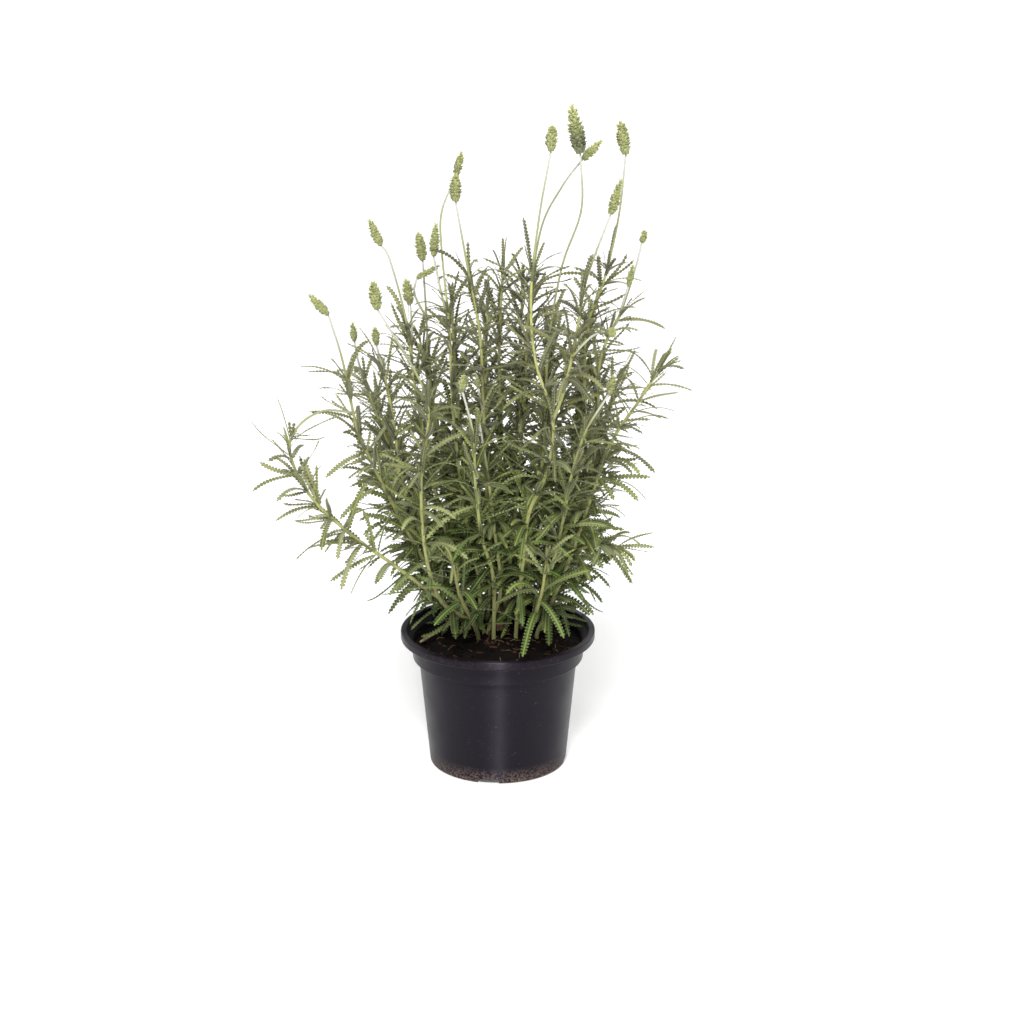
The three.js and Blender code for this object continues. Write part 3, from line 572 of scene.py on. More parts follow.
class Shape:
    """Corners, triangles and paint of one piece. tone and place are three numbers a corner, for the paint."""

    def __init__(self):
        self.corners, self.faces, self.slots, self.tones, self.places = [], [], [], [], []
        self.count = 0

    def add(self, corners, faces, slot=0, tone=PLAIN_TONE, place=PLAIN_PLACE):
        corners, faces = np.asarray(corners, float), np.asarray(faces, int)
        self.corners.append(corners)
        self.faces.append(faces + self.count)
        self.slots.append(np.full(len(faces), slot))
        self.tones.append(np.broadcast_to(np.asarray(tone, float), corners.shape))
        self.places.append(np.broadcast_to(np.asarray(place, float), corners.shape))
        self.count += len(corners)

    def piece(self, name, materials, stands_for, slot, sharp=None):
        """Makes the object, which rides on the part and stands for its solid. sharp is in degrees."""
        corners, faces = np.concatenate(self.corners), np.concatenate(self.faces)
        mesh = bpy.data.meshes.new(name)
        mesh.vertices.add(len(corners))
        mesh.vertices.foreach_set("co", (corners * MM).ravel())
        mesh.loops.add(faces.size)
        mesh.loops.foreach_set("vertex_index", faces.ravel().astype(np.int32))
        mesh.polygons.add(len(faces))
        mesh.polygons.foreach_set("loop_start", np.arange(0, faces.size, 3, dtype=np.int32))
        mesh.polygons.foreach_set("loop_total", np.full(len(faces), 3, np.int32))
        mesh.polygons.foreach_set("material_index", np.concatenate(self.slots).astype(np.int32))
        mesh.update(calc_edges=True)
        for attribute, values in (("tone", self.tones), ("place", self.places)):
            colors = np.ones((len(corners), 4), np.float32)
            colors[:, :3] = np.concatenate(values)
            mesh.attributes.new(attribute, "FLOAT_COLOR", "POINT").data.foreach_set("color", colors.ravel())
        mesh.shade_smooth()
        if sharp is not None:
            mesh.set_sharp_from_angle(angle=math.radians(sharp))
        for material in materials:
            mesh.materials.append(material)
        made = linked(name, mesh)
        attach(made, "root")
        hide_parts(*stands_for)


def sweep(rings, points):
    """Triangles between rings of points that follow each other, with a corner in the middle of each end."""
    faces = []
    for ring in range(rings - 1):
        for i in range(points):
            a, b = ring * points + i, ring * points + (i + 1) % points
            faces += [(a, b, b + points), (a, b + points, a + points)]
    first, last = rings * points, rings * points + 1
    for i in range(points):
        j = (i + 1) % points
        faces += [(first, j, i), (last, (rings - 1) * points + i, (rings - 1) * points + j)]
    return np.array(faces)


def tube(shape, path, radii, outline, frames, tone, place=PLAIN_PLACE, slot=0):
    """A closed tube along a path. outline is its section's points, and frames the two directions across it.
    tone and place are one for the whole tube, or one for each point of the path."""
    rings = [p + r * (outline[:, :1] * f + outline[:, 1:] * s) for p, r, (f, s) in zip(path, radii, frames)]
    corners = np.concatenate([*rings, [path[0]], [path[-1]]])
    paint = []
    for value in (tone, place):
        value = np.broadcast_to(value, (len(path), 3))
        paint.append(np.concatenate([np.repeat(value, len(outline), axis=0), value[:1], value[-1:]]))
    shape.add(corners, sweep(len(path), len(outline)), slot, *paint)


def circle(points, turn=0.0):
    """Points round a circle of radius 1."""
    angles = np.arange(points) * 2 * math.pi / points + turn
    return np.stack([np.cos(angles), np.sin(angles)], 1)


def fluted(turn=0.0):
    """Eight points round a circle of radius 1, every second one drawn in."""
    return circle(8, turn) * np.where(np.arange(8) % 2 == 0, 1.0, 0.8)[:, None]


NEARLY_UPRIGHT = 0.9


def steady_frames(path):
    """Directions across a path that turn as little as they can."""
    tangents = np.gradient(path, axis=0)
    upright = abs(unit(tangents[0])[2]) >= NEARLY_UPRIGHT
    first = np.cross(tangents[0], np.array([1.0, 0, 0]) if upright else UP)
    frames = []
    for tangent in tangents:
        tangent = unit(tangent)
        first = unit(first - tangent * (first @ tangent))
        frames.append((first, np.cross(tangent, first)))
    return frames


# Leaf: a comb of rounded teeth on each side of a rib, with rolled edges. Places along a leaf are shares of
# its length, places beside its rib are shares of its half width, and heights are in millimetres.
TOOTH = ((0.24, 0.93), (0.74, 1.0))
TOOTH_MIDDLE = (0.52, 0.62)
TOOTH_DOME = 0.22
NOTCH_DEPTH = 0.3
FIRST_TOOTH, LAST_TOOTH = 0.07, 0.955
DOMED_TEETH = 9
ROOT_STRETCH, ROOT_LOSS = 0.3, 0.55
TIP_START, TIP_STRETCH, TIP_LOSS = 0.65, 0.35, 0.34
RIB_TOP = 0.02
RIB_UNDER, RIB_THINNING = -0.42, 0.2
EDGE_DROP = 0.36
TIP_DROP = 0.2
FLANK = (0.985, 0.36, -0.12)


def half_width(share):
    """The half width of a leaf as a share of its widest, narrower at its root and at its tip."""
    narrow = max(0, 1 - share / ROOT_STRETCH) ** 2 * ROOT_LOSS
    return 1 - narrow - max(0, (share - TIP_START) / TIP_STRETCH) ** 2 * TIP_LOSS


def leaf_template(teeth):
    """Corners of a leaf as share along, share sideways, height, and whether the corner is on the underside;
    and its triangles. The teeth of large leaves are domed above."""
    corners, faces = [], []
    domed = teeth >= DOMED_TEETH

    def corner(share, sideways, height, under=0.5):
        corners.append((share, sideways, height, under))
        return len(corners) - 1

    pitch = (LAST_TOOTH - FIRST_TOOTH) / teeth
    stops = [FIRST_TOOTH + pitch * i for i in range(teeth + 1)]
    top = [corner(s, 0, RIB_TOP, 0) for s in stops]
    under = [corner(s, 0, RIB_UNDER + RIB_THINNING * s, 1) for s in stops]
    root, tip = corner(0, 0, 0), corner(1, 0, -TIP_DROP)
    for side in (1, -1):
        def face(a, b, c, side=side):
            faces.append((a, b, c) if side > 0 else (a, c, b))

        notches = [corner(s, side * NOTCH_DEPTH * half_width(s), 0.0) for s in stops]
        for i, start in enumerate(stops[:-1]):
            edge = [notches[i]]
            for along, sideways in TOOTH:
                share = start + pitch * along
                edge.append(corner(share, side * sideways * half_width(share), -EDGE_DROP * sideways**3))
            edge.append(notches[i + 1])
            middle = start + pitch * TOOTH_MIDDLE[0]
            width = side * TOOTH_MIDDLE[1] * half_width(middle)
            for spine, is_under in ((top, False), (under, True)):
                loop = [spine[i], *edge, spine[i + 1]]
                if domed and not is_under:
                    center, rim = corner(middle, width, TOOTH_DOME, 0), loop + loop[:1]
                else:
                    center, rim = loop[0], loop[1:]
                for a, b in zip(rim, rim[1:]):
                    face(*((a, b, center) if is_under else (b, a, center)))
        flank = corner(FLANK[0], side * FLANK[1], FLANK[2])
        for spine, is_under in ((top, False), (under, True)):
            for a, b, c in (
                (root, notches[0], spine[0]),
                (spine[-1], notches[-1], flank),
                (spine[-1], flank, tip),
            ):
                face(*((a, b, c) if is_under else (a, c, b)))
    return np.array(corners), np.array(faces)


def outward(corners, faces):
    """The faces, turned over if they enclose less than nothing."""
    a, b, c = (corners[faces[:, i]] for i in range(3))
    return faces if np.einsum("ij,ij->i", a, np.cross(b, c)).sum() > 0 else faces[:, ::-1]


TEMPLATES = {}
LEAF_TWIST = (-0.35, 0.35)
LEAF_FOLD = (-0.12, 0.42)
WAVE_HEIGHT = 0.35
WAVE_COUNT = (1.2, 2.4)
WAVE_DEPTH = 0.5
LEAST_HEIGHT, MORE_HEIGHT, FULL_HALF_WIDTH = 0.45, 0.55, 2.4


def add_leaf(shape, leaf, teeth, tone, chance):
    """A leaf laid along its spine, with a slight fold, twist and wave of its own."""
    if teeth not in TEMPLATES:
        TEMPLATES[teeth] = leaf_template(teeth)
    corners, faces = TEMPLATES[teeth]
    share, sideways, height, under = corners.T
    points, uppers, sides = leaf_spine(leaf)
    steps = share * SPINE_STEPS
    low = np.minimum(steps.astype(int), SPINE_STEPS - 1)
    part = (steps - low)[:, None]
    at, upper, side = (v[low] * (1 - part) + v[low + 1] * part for v in (points, uppers, sides))
    twist = (share * chance.uniform(*LEAF_TWIST))[:, None]
    side, upper = side * np.cos(twist) + upper * np.sin(twist), upper * np.cos(twist) - side * np.sin(twist)
    half = leaf["width"] / 2
    fold = chance.uniform(*LEAF_FOLD) * abs(sideways) * half
    phase = (share * chance.uniform(*WAVE_COUNT) + chance.random()) * 2 * math.pi
    wave = WAVE_HEIGHT * np.sin(phase) * sideways
    depth = height * (LEAST_HEIGHT + MORE_HEIGHT * half / FULL_HALF_WIDTH) + fold + wave * WAVE_DEPTH
    laid = at + side * (sideways * half)[:, None] + upper * depth[:, None]
    laid[share == 0] = leaf["root"] - leaf["direction"] * LEAF_ROOT
    place = np.stack([share, abs(sideways), under], 1)
    shape.add(laid, outward(laid - laid.mean(0), faces), 0, tone, place)


# Stem: square with rounded corners, thicker where leaves grow and thinner above them
STEM_STEP = 4.0
LEAST_STEP = 0.5
SQUARE = fluted(math.pi / 4)
KNOT_STEP = 1.2
KNOT_LENGTH = 1.3
KNOT_SWELL = 0.22
BARE_FROM, BARE_TO = -10, 40
BARE_LOSS = 0.18
WOOL_LENGTH = 34
WOOL_END = 2
STEM_SCALE = 400


def add_stem_shape(shape, strand, tone):
    """The stem of a strand, with pale wool just below its flower head."""
    distances = np.linspace(0, strand.length, max(3, int(strand.length / STEM_STEP)))
    knots = sorted({round(p["distance"], 3) for p in leaf_places_on(strand) + between_places(strand)})
    close = [k + d for k in knots for d in (-KNOT_STEP, 0.0, KNOT_STEP) if 0 < k + d < strand.length]
    distances = np.array(sorted({*distances, *close}))
    keep = np.concatenate([[True], np.diff(distances) > LEAST_STEP])
    distances = distances[keep]
    path, frames = [], []
    for distance in distances:
        point, along = strand.place(distance)
        below = strand.place(max(distance - 2, 0))[1]
        path.append(point)
        frames.append(across(unit(along + below)))
    swell = sum((np.exp(-(((distances - k) / KNOT_LENGTH) ** 2)) for k in knots), np.zeros(len(distances)))
    swell = np.minimum(swell, 1)
    leafy_end = strand.shoot["leafy"][1] * strand.length
    bare = smooth(leafy_end + BARE_FROM, leafy_end + BARE_TO, distances)
    radii = np.array([strand.radius(d) for d in distances])
    radii = radii * (1 + KNOT_SWELL * swell) * (1 - BARE_LOSS * bare)
    tones = np.tile(tone, (len(distances), 1))
    if "head" in strand.shoot:
        tones[:, 2] = smooth(strand.length - WOOL_LENGTH, strand.length - WOOL_END, distances)
    places = np.stack([distances / STEM_SCALE, swell, bare], 1)
    tube(shape, np.array(path), radii, SQUARE, frames, tones, places, slot=1)


# Flower head: whorls of pointed bracts round a core, with ribbed cups between them and a tuft on top.
# BRACT_ROWS are places along a bract, each with its width there.
BRACT_ROWS = ((0.0, 0.42), (0.22, 0.86), (0.48, 1.0), (0.72, 0.74), (0.9, 0.28), (1.0, 0.0))
BRACT_LINES = (-1.0, -0.5, 0.0, 0.5, 1.0)
BRACT_EDGES = (0, 4)
BRACT_THICKNESS = 0.16
BRACT_CURVE = 1.6
BRACT_CUP = 0.32
BRACT_WRAP_RADIUS = 0.7
BRACT_TAPER = 0.25
CUP_OUTLINE = ((0, 0.55), (0.25, 0.9), (0.6, 1.0), (0.9, 0.85), (1.0, 0.35))


def bract_template():
    """Corners of a cupped bract, as share along, share sideways and side of the sheet; and its triangles."""
    corners, faces = [], []
    top, under = [], []
    for share, width in BRACT_ROWS:
        for layer, side_of in ((top, 1), (under, -1)):
            line = []
            for k, sideways in enumerate(BRACT_LINES):
                if layer is under and (k in BRACT_EDGES or width == 0):
                    line.append(top[-1][k])
                    continue
                if width == 0 and k:
                    line.append(line[0])
                    continue
                corners.append((share, sideways * width, side_of if k not in BRACT_EDGES and width else 0))
                line.append(len(corners) - 1)
            layer.append(line)
    for layer, flip in ((top, False), (under, True)):
        for low, high in zip(layer, layer[1:]):
            for k in range(len(BRACT_LINES) - 1):
                for tri in ((low[k], low[k + 1], high[k + 1]), (low[k], high[k + 1], high[k])):
                    if len(set(tri)) == 3:
                        faces.append(tri[::-1] if flip else tri)
    base = [*top[0], *under[0][3:0:-1]]
    faces += [(base[0], base[i + 1], base[i]) for i in range(1, len(base) - 1)]
    return np.array(corners), np.array(faces)


BRACT = bract_template()


def add_bract(shape, turn, height, radius, length, width, spread, tone):
    """One bract on a head that stands along Z, its point leaning out by spread degrees."""
    corners, faces = BRACT
    share, sideways, layer = corners.T
    lean = math.radians(spread) * share**BRACT_CURVE
    out = radius + length * share * np.sin(lean) - BRACT_CUP * width * sideways**2
    out += layer * BRACT_THICKNESS / 2
    up = height + length * share * np.cos(lean)
    angle = turn + sideways * width / 2 / max(radius, BRACT_WRAP_RADIUS) * (1 - BRACT_TAPER * share)
    laid = np.stack([out * np.cos(angle), out * np.sin(angle), up], 1)
    place = np.stack([share, abs(sideways), np.zeros(len(share))], 1)
    shape.add(laid, outward(laid - laid.mean(0), faces), 0, tone, place)


def add_cup(shape, turn, height, radius, length, girth, lean, tone):
    """A small ribbed calyx that leans out from the head."""
    shares, widths = np.array(CUP_OUTLINE).T
    base = np.array([radius * math.cos(turn), radius * math.sin(turn), height])
    way = np.array([math.sin(lean) * math.cos(turn), math.sin(lean) * math.sin(turn), math.cos(lean)])
    path = base + way * (shares * length)[:, None]
    places = np.stack([shares, shares * 0, shares * 0 + 1], 1)
    tube(shape, path, girth * widths, fluted(), steady_frames(path), tone, places)


HEAD_SWELL = (0.42, 0.58)
HEAD_TAPER = 0.42
CORE_RINGS = 9
CORE_TOP = 0.92
CORE_SHARE = 0.62
CORE_ENDS = (0.7, 0.5)
CORE_TONE = (0.3, 0, 0.6)
ROW_STEP = 2.3
ROW_TOP = 0.84
WIDE_HEAD = 3.4
BRACT_ROOT = 0.66
BRACT_STRAY = (-0.12, 0.12)
BRACT_SPREAD = (16, 34)
TUFT = 7
TUFT_TURN = 2.4


def head_shape(length, width, ripe, seed):
    """A flower head that stands on the origin along Z. A ripe one shows dark cups between its low bracts."""
    chance, shape = random.Random(seed), Shape()
    half = width / 2

    def swell(share):
        round_part = math.sin(math.pi * min(share * 0.95 + 0.16, 1.0)) ** 0.8
        return half * (HEAD_SWELL[0] + HEAD_SWELL[1] * round_part) * (1 - HEAD_TAPER * share**2)

    shares = np.linspace(0, CORE_TOP, CORE_RINGS)
    core = np.stack([shares * 0, shares * 0, shares * length], 1)
    radii = np.array([CORE_SHARE * swell(s) for s in shares])
    radii[0], radii[-1] = CORE_ENDS
    tube(shape, core, radii, circle(8), steady_frames(core), CORE_TONE)
    rows = max(4, round(length / ROW_STEP))
    count = 6 if half > WIDE_HEAD else 5
    for row in range(rows):
        share = row / rows
        size = 0.78 + 0.5 * swell(share) / half
        height = share * length * ROW_TOP
        dark = smooth(0.62, 0.2, share) * ripe
        for i in range(count):
            turn = (i + row / 2) * 2 * math.pi / count + chance.uniform(*BRACT_STRAY)
            tone = (chance.random(), 0.4 + 0.4 * share, dark * chance.uniform(0.6, 1))
            base = height + chance.uniform(-0.3, 0.3)
            spread = chance.uniform(*BRACT_SPREAD) + 8 * (1 - share)
            bract_length, bract_width = half * 1.02 * size, half * 1.05 * size
            add_bract(shape, turn, base, BRACT_ROOT * swell(share), bract_length, bract_width, spread, tone)
            if chance.random() < 0.35 + 0.6 * dark:
                lean = math.radians(26 + 10 * chance.random())
                tone = (chance.random(), 0.3, 0.25 + 0.6 * dark)
                radius, girth = 0.5 * swell(share), 0.16 * half + 0.12
                add_cup(shape, turn + math.pi / count, height + 0.6, radius, half * 0.86, girth, lean, tone)
    for i in range(TUFT):
        turn = i * TUFT_TURN + chance.uniform(-0.2, 0.2)
        base = length * chance.uniform(0.80, 0.86)
        radius = 0.24 * half * (0.4 + 0.6 * (i % 2))
        bract_length = length * 0.16 + half * 0.2 * chance.random()
        spread = chance.uniform(4, 20)
        tone = (chance.random(), 0.9, 0)
        add_bract(shape, turn, base, radius, bract_length, half * 0.62, spread, tone)
    return shape


# Pot
POT_SIDES = 144
CHANNEL_SLOPE = 1.5
LIP_FOLD_IN, LIP_FOLD_DOWN = 0.3, 3.2
DRAIN_SIDES = 24
DRAIN_CUT = (-4, 10)
POT_SHARP = 50


def rounded(outline):
    """An outline of (radius, height, rounding) points, with each rounded corner as a short run of points."""
    places = [vector(p[:2]) for p in outline]
    points = []
    for i, (place, (_, _, rounding)) in enumerate(zip(places, outline)):
        if not rounding:
            points.append(place)
            continue
        before, after = unit(places[i - 1] - place), unit(places[(i + 1) % len(places)] - place)
        start, end = place + before * rounding, place + after * rounding
        for t in np.linspace(0, 1, 5):
            points.append(start * (1 - t) ** 2 + place * 2 * t * (1 - t) + end * t**2)
    return points


def lathe(outline, sides):
    """Corners and triangles of a solid of revolution. The outline starts and ends on its axis."""
    angles = np.arange(sides) * 2 * math.pi / sides
    corners = [(r * c, r * s, z) for r, z in outline[1:-1] for c, s in zip(np.cos(angles), np.sin(angles))]
    corners += [(0, 0, outline[0][1]), (0, 0, outline[-1][1])]
    return np.array(corners), sweep(len(outline) - 2, sides)


def plain_object(name, corners, faces):
    mesh = bpy.data.meshes.new(name)
    mesh.from_pydata((np.asarray(corners) * MM).tolist(), [], np.asarray(faces).tolist())
    return linked(name, mesh)


def slab(name, size, center, turn):
    """A closed box turned about Z, to cut with."""
    corners = [vector(corner) * size / 2 for corner in product((-1, 1), repeat=3)]
    faces = [
        (0, 1, 3), (0, 3, 2), (4, 6, 7), (4, 7, 5), (0, 4, 5), (0, 5, 1),
        (2, 3, 7), (2, 7, 6), (0, 2, 6), (0, 6, 4), (1, 5, 7), (1, 7, 3),
    ]
    return plain_object(name, [rotated(c + vector(center), UP, turn) for c in corners], faces)


def drain(name, center, turn):
    """An upright rod turned about Z, to cut with."""
    ring = circle(DRAIN_SIDES) * DRAIN_RADIUS
    corners = [(*point, z) for z in DRAIN_CUT for point in ring] + [(0, 0, z) for z in DRAIN_CUT]
    moved = np.array([rotated(vector(c) + vector(center), UP, turn) for c in corners])
    return plain_object(name, moved, outward(moved, sweep(2, DRAIN_SIDES)))


def pot_outline():
    """The section of the pot, from the middle of its underside round to the middle of its floor inside."""
    lip_bottom = POT_HEIGHT - LIP_HEIGHT
    return rounded([
        (0, 0, 0),
        (CHANNEL_INNER_RADIUS, 0, 0.6),
        (CHANNEL_INNER_RADIUS + CHANNEL_SLOPE, CHANNEL_DEPTH, 0.6),
        (CHANNEL_OUTER_RADIUS - CHANNEL_SLOPE, CHANNEL_DEPTH, 0.6),
        (CHANNEL_OUTER_RADIUS, 0, 0.6),
        (FOOT_RADIUS, 0, 0.9),
        (BODY_TOP_RADIUS, COLLAR_BOTTOM, 0.5),
        (COLLAR_RADIUS - COLLAR_TAPER, COLLAR_BOTTOM, 0.9),
        (COLLAR_RADIUS, lip_bottom, 0.5),
        (LIP_RADIUS, lip_bottom, 0.9),
        (LIP_RADIUS, POT_HEIGHT, 1.1),
        (LIP_INNER_RADIUS, POT_HEIGHT, 1.0),
        (LIP_INNER_RADIUS - LIP_FOLD_IN, POT_HEIGHT - LIP_FOLD_DOWN, 1.2),
        (COLLAR_RADIUS - WALL, lip_bottom - WALL, 0.8),
        (COLLAR_RADIUS - COLLAR_TAPER - WALL, COLLAR_BOTTOM + WALL, 0.6),
        (BODY_TOP_RADIUS - WALL, COLLAR_BOTTOM, 0.6),
        (FOOT_RADIUS - WALL, INNER_FLOOR, 1.0),
        (CHANNEL_INNER_RADIUS + WALL / 2, INNER_FLOOR, 0),
        (CHANNEL_INNER_RADIUS - WALL / 2, FLOOR, 0),
        (0, FLOOR, 0),
    ])


def make_pot(paint):
    corners, faces = lathe(pot_outline(), POT_SIDES)
    body = plain_object("pot_body", corners, outward(corners, faces))
    cutters = []
    channel_radius = (CHANNEL_INNER_RADIUS + CHANNEL_OUTER_RADIUS) / 2
    for side in range(4):
        turn = math.radians(side * 90 + NOTCH_TURN)
        size = (NOTCH_WIDTH, FOOT_RADIUS - channel_radius, 2 * NOTCH_HEIGHT)
        cutters.append(slab(f"notch_{side}", size, (0, -FOOT_RADIUS, 0), turn))
        cutters.append(drain(f"drain_{side}", (0, -channel_radius, 0), turn + math.pi / 4))
    for cutter in cutters:
        cut = body.modifiers.new(cutter.name, "BOOLEAN")
        cut.operation, cut.solver, cut.object = "DIFFERENCE", "EXACT", cutter
    graph = bpy.context.evaluated_depsgraph_get()
    mesh = bpy.data.meshes.new_from_object(body.evaluated_get(graph))
    for made in [body, *cutters]:
        bpy.data.objects.remove(made)
    mesh.name = "nursery_pot"
    mesh.materials.clear()
    mesh.materials.append(paint)
    mesh.shade_smooth()
    mesh.set_sharp_from_angle(angle=math.radians(POT_SHARP))
    pot = linked("nursery_pot", mesh)
    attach(pot, "root")
    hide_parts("pot")


# Soil. A pair in brackets is a least and a most.
SOIL_RINGS = 34
SOIL_SIDES = 120
MIDDLE_RING = 1.5
LUMP_SIZE, LUMP_HEIGHT, LUMP_SINK = 11, 2.0, 0.9
GRAIN_SIZE, GRAIN_HEIGHT = 2.6, 0.75
LUMP_SHIFT = Vector((5, 2, 8))
GRAIN_SHIFT = Vector((1, 7, 3))
CRUMBS, CHIPS, FIBRES = 240, 70, 60
LEAST_CRUMB, MORE_CRUMB = 0.45, 1.5
CHIP_LENGTH, CHIP_WIDTH, CHIP_HEIGHT = (1.6, 3.6), (0.7, 1.3), (0.35, 0.6)
CHIP_ROUGHNESS = 0.25
FIBRE_LENGTH, FIBRE_RADIUS, FIBRE_LIFT = (2, 9), (0.14, 0.34), (0, 1.2)
FIBRE_BEND = (-0.16, 0.16)
FIBRE_OUTLINE = (0.4, 0.8, 1, 1, 1, 1, 0.9, 0.7, 0.3)


def soil_height(x, y):
    """The height of the soil: level in the middle, sloping to its edge, lumpy all over."""
    radius = math.hypot(x, y)
    level = SOIL_EDGE + (SOIL_TOP - SOIL_EDGE) * smooth(SOIL_RADIUS + 2, SOIL_LEVEL_RADIUS - 6, radius)
    place = Vector((x, y, 0))
    lumps = noise.fractal(place / LUMP_SIZE + LUMP_SHIFT, 1.0, 2.1, 3) * LUMP_HEIGHT
    grains = noise.fractal(place / GRAIN_SIZE + GRAIN_SHIFT, 0.9, 2.0, 2) * GRAIN_HEIGHT
    return level + (lumps - LUMP_SINK) * smooth(SOIL_RADIUS, SOIL_RADIUS - 8, radius) + grains


def lump_template():
    """An icosahedron with each face split in four, on the unit sphere."""
    gold = (1 + 5**0.5) / 2
    points = [unit(vector(p)) for p in (
        (-1, gold, 0), (1, gold, 0), (-1, -gold, 0), (1, -gold, 0),
        (0, -1, gold), (0, 1, gold), (0, -1, -gold), (0, 1, -gold),
        (gold, 0, -1), (gold, 0, 1), (-gold, 0, -1), (-gold, 0, 1),
    )]
    near = min(np.linalg.norm(points[0] - p) for p in points[1:]) * 1.01
    faces, middles = [], {}

    def middle(a, b):
        key = (min(a, b), max(a, b))
        if key not in middles:
            points.append(unit(points[a] + points[b]))
            middles[key] = len(points) - 1
        return middles[key]

    close = [[np.linalg.norm(p - q) < near for q in points] for p in points]
    for a, b, c in [(a, b, c) for a in range(12) for b in range(a) for c in range(b)]:
        if not (close[a][b] and close[b][c] and close[a][c]):
            continue
        if np.dot(np.cross(points[b] - points[a], points[c] - points[a]), points[a]) < 0:
            b, c = c, b
        ab, bc, ca = middle(a, b), middle(b, c), middle(c, a)
        faces += [(a, ab, ca), (b, bc, ab), (c, ca, bc), (ab, bc, ca)]
    return np.array(points), np.array(faces)


LUMP = lump_template()


def add_lump(shape, center, size, chance, tone, rough=0.35):
    """A rough lump, stretched by size and turned at random."""
    corners, faces = LUMP
    shift = Vector([chance.uniform(0, 50) for _ in range(3)])
    swell = np.array([1 + rough * noise.noise(Vector(c) * 1.7 + shift) for c in corners])[:, None]
    turn = unit(np.array([chance.gauss(0, 1) for _ in range(3)]))
    angle = chance.uniform(0, math.pi)
    shaped = np.array([rotated(c, turn, angle) for c in corners * swell * size])
    shape.add(shaped + center, faces, tone=tone)


def add_fibre(shape, start, heading, length, radius, chance, tone, lift):
    """A thin root or stalk that lies on the soil, its middle lifted off it."""
    point, path = vector(start), []
    last = len(FIBRE_OUTLINE) - 1
    for i in range(last + 1):
        heading += chance.uniform(*FIBRE_BEND)
        height = soil_height(point[0], point[1]) + radius * 0.6 + lift * math.sin(math.pi * i / last)
        path.append((point[0], point[1], height))
        point = point + vector((math.cos(heading), math.sin(heading))) * length / last
    path = np.array(path)
    tube(shape, path, radius * np.array(FIBRE_OUTLINE), circle(5), steady_frames(path), tone)


def soil_body():
    """Corners and triangles of the soil, from its underside round to the middle of its lumpy top."""
    angles = np.arange(SOIL_SIDES) * 2 * math.pi / SOIL_SIDES
    below = [
        (CHANNEL_INNER_RADIUS - WALL / 2 - GAP, FLOOR + GAP),
        (CHANNEL_INNER_RADIUS + WALL / 2 - GAP, INNER_FLOOR + GAP),
        (FOOT_RADIUS - WALL - GAP, INNER_FLOOR + GAP),
        (BODY_TOP_RADIUS - WALL - GAP, COLLAR_BOTTOM + GAP),
        (COLLAR_RADIUS - COLLAR_TAPER - WALL - GAP, COLLAR_BOTTOM + WALL + GAP),
    ]
    corners = [(r * math.cos(a), r * math.sin(a), z) for r, z in below for a in angles]
    for radius in np.linspace(SOIL_RADIUS, MIDDLE_RING, SOIL_RINGS):
        for a in angles:
            x, y = radius * math.cos(a), radius * math.sin(a)
            corners.append((x, y, soil_height(x, y)))
    corners += [(0, 0, FLOOR + GAP), (0, 0, soil_height(0, 0))]
    return np.array(corners), sweep(len(below) + SOIL_RINGS, SOIL_SIDES)


def make_soil(paint):
    """The soil with its crumbs, chips of bark and fibres."""
    chance, shape = random.Random(11), Shape()
    corners, faces = soil_body()
    shape.add(corners, outward(corners, faces), 0, (0.35, 0, 0))

    def spot(widest):
        radius, turn = widest * math.sqrt(chance.random()), chance.uniform(0, 2 * math.pi)
        return radius * math.cos(turn), radius * math.sin(turn)

    for _ in range(CRUMBS):
        x, y = spot(SOIL_RADIUS - 2)
        size = LEAST_CRUMB + MORE_CRUMB * chance.random() ** 2.5
        form = np.array([1.0, chance.uniform(0.6, 1), chance.uniform(0.5, 0.9)]) * size
        add_lump(shape, (x, y, soil_height(x, y) + size * 0.25), form, chance, (chance.random(), 0, 0))
    for _ in range(CHIPS):
        x, y = spot(SOIL_RADIUS - 4)
        form = np.array([chance.uniform(*span) for span in (CHIP_LENGTH, CHIP_WIDTH, CHIP_HEIGHT)])
        place = (x, y, soil_height(x, y) + 0.35)
        add_lump(shape, place, form, chance, (chance.random(), 1, 0), CHIP_ROUGHNESS)
    for _ in range(FIBRES):
        place, heading = spot(SOIL_RADIUS - 9), chance.uniform(0, 6.28)
        length, radius = chance.uniform(*FIBRE_LENGTH), chance.uniform(*FIBRE_RADIUS)
        tone, lift = (chance.random(), 0.6, 1), chance.uniform(*FIBRE_LIFT)
        add_fibre(shape, place, heading, length, radius, chance, tone, lift)
    shape.piece("soil_surface", [paint], ["soil"], "soil")


# Woody crown and dry stick. The outlines are pairs of a share of the length and a share of the radius there.
# CROWN_BRANCHES are lean and turn in degrees, length, radius, and height above the foot of the crown.
CROWN_OUTLINE = (
    (0, 1.0), (0.5, 1.0), (0.62, 1.08), (0.72, 0.94), (0.8, 0.86), (0.92, 0.95), (0.97, 0.8), (1.0, 0.5),
)
CROWN_RINGS, CROWN_SIDES = 40, 36
CROWN_SLIMMING = 0.95
CROWN_SHARP = 60
CROWN_BRANCHES = ((38, 250, 9, 2.0, 25.0), (30, 80, 8, 1.7, 23.3))
BRANCH_OUTLINE = ((0, 1.1), (0.9, 0.95), (1, 0.7))
BRANCH_RINGS, BRANCH_SIDES = 16, 20
BARK_RIDGES, BARK_GRAIN = 0.16, 0.10
STICK_START, STICK_END = (-56, -8, 0), (-45, 2, 0)
STICK_OUTLINE = ((0, 0.7), (0.1, 1.0), (0.45, 0.9), (0.5, 1.02), (0.56, 0.86), (0.95, 0.78), (1, 0.5))
STICK_RINGS = 14
STICK_RADIUS = 1.0
STICK_BEND = 0.12
STICK_TONE = (0.6, 0, 0)
STICK_SHARP = 50


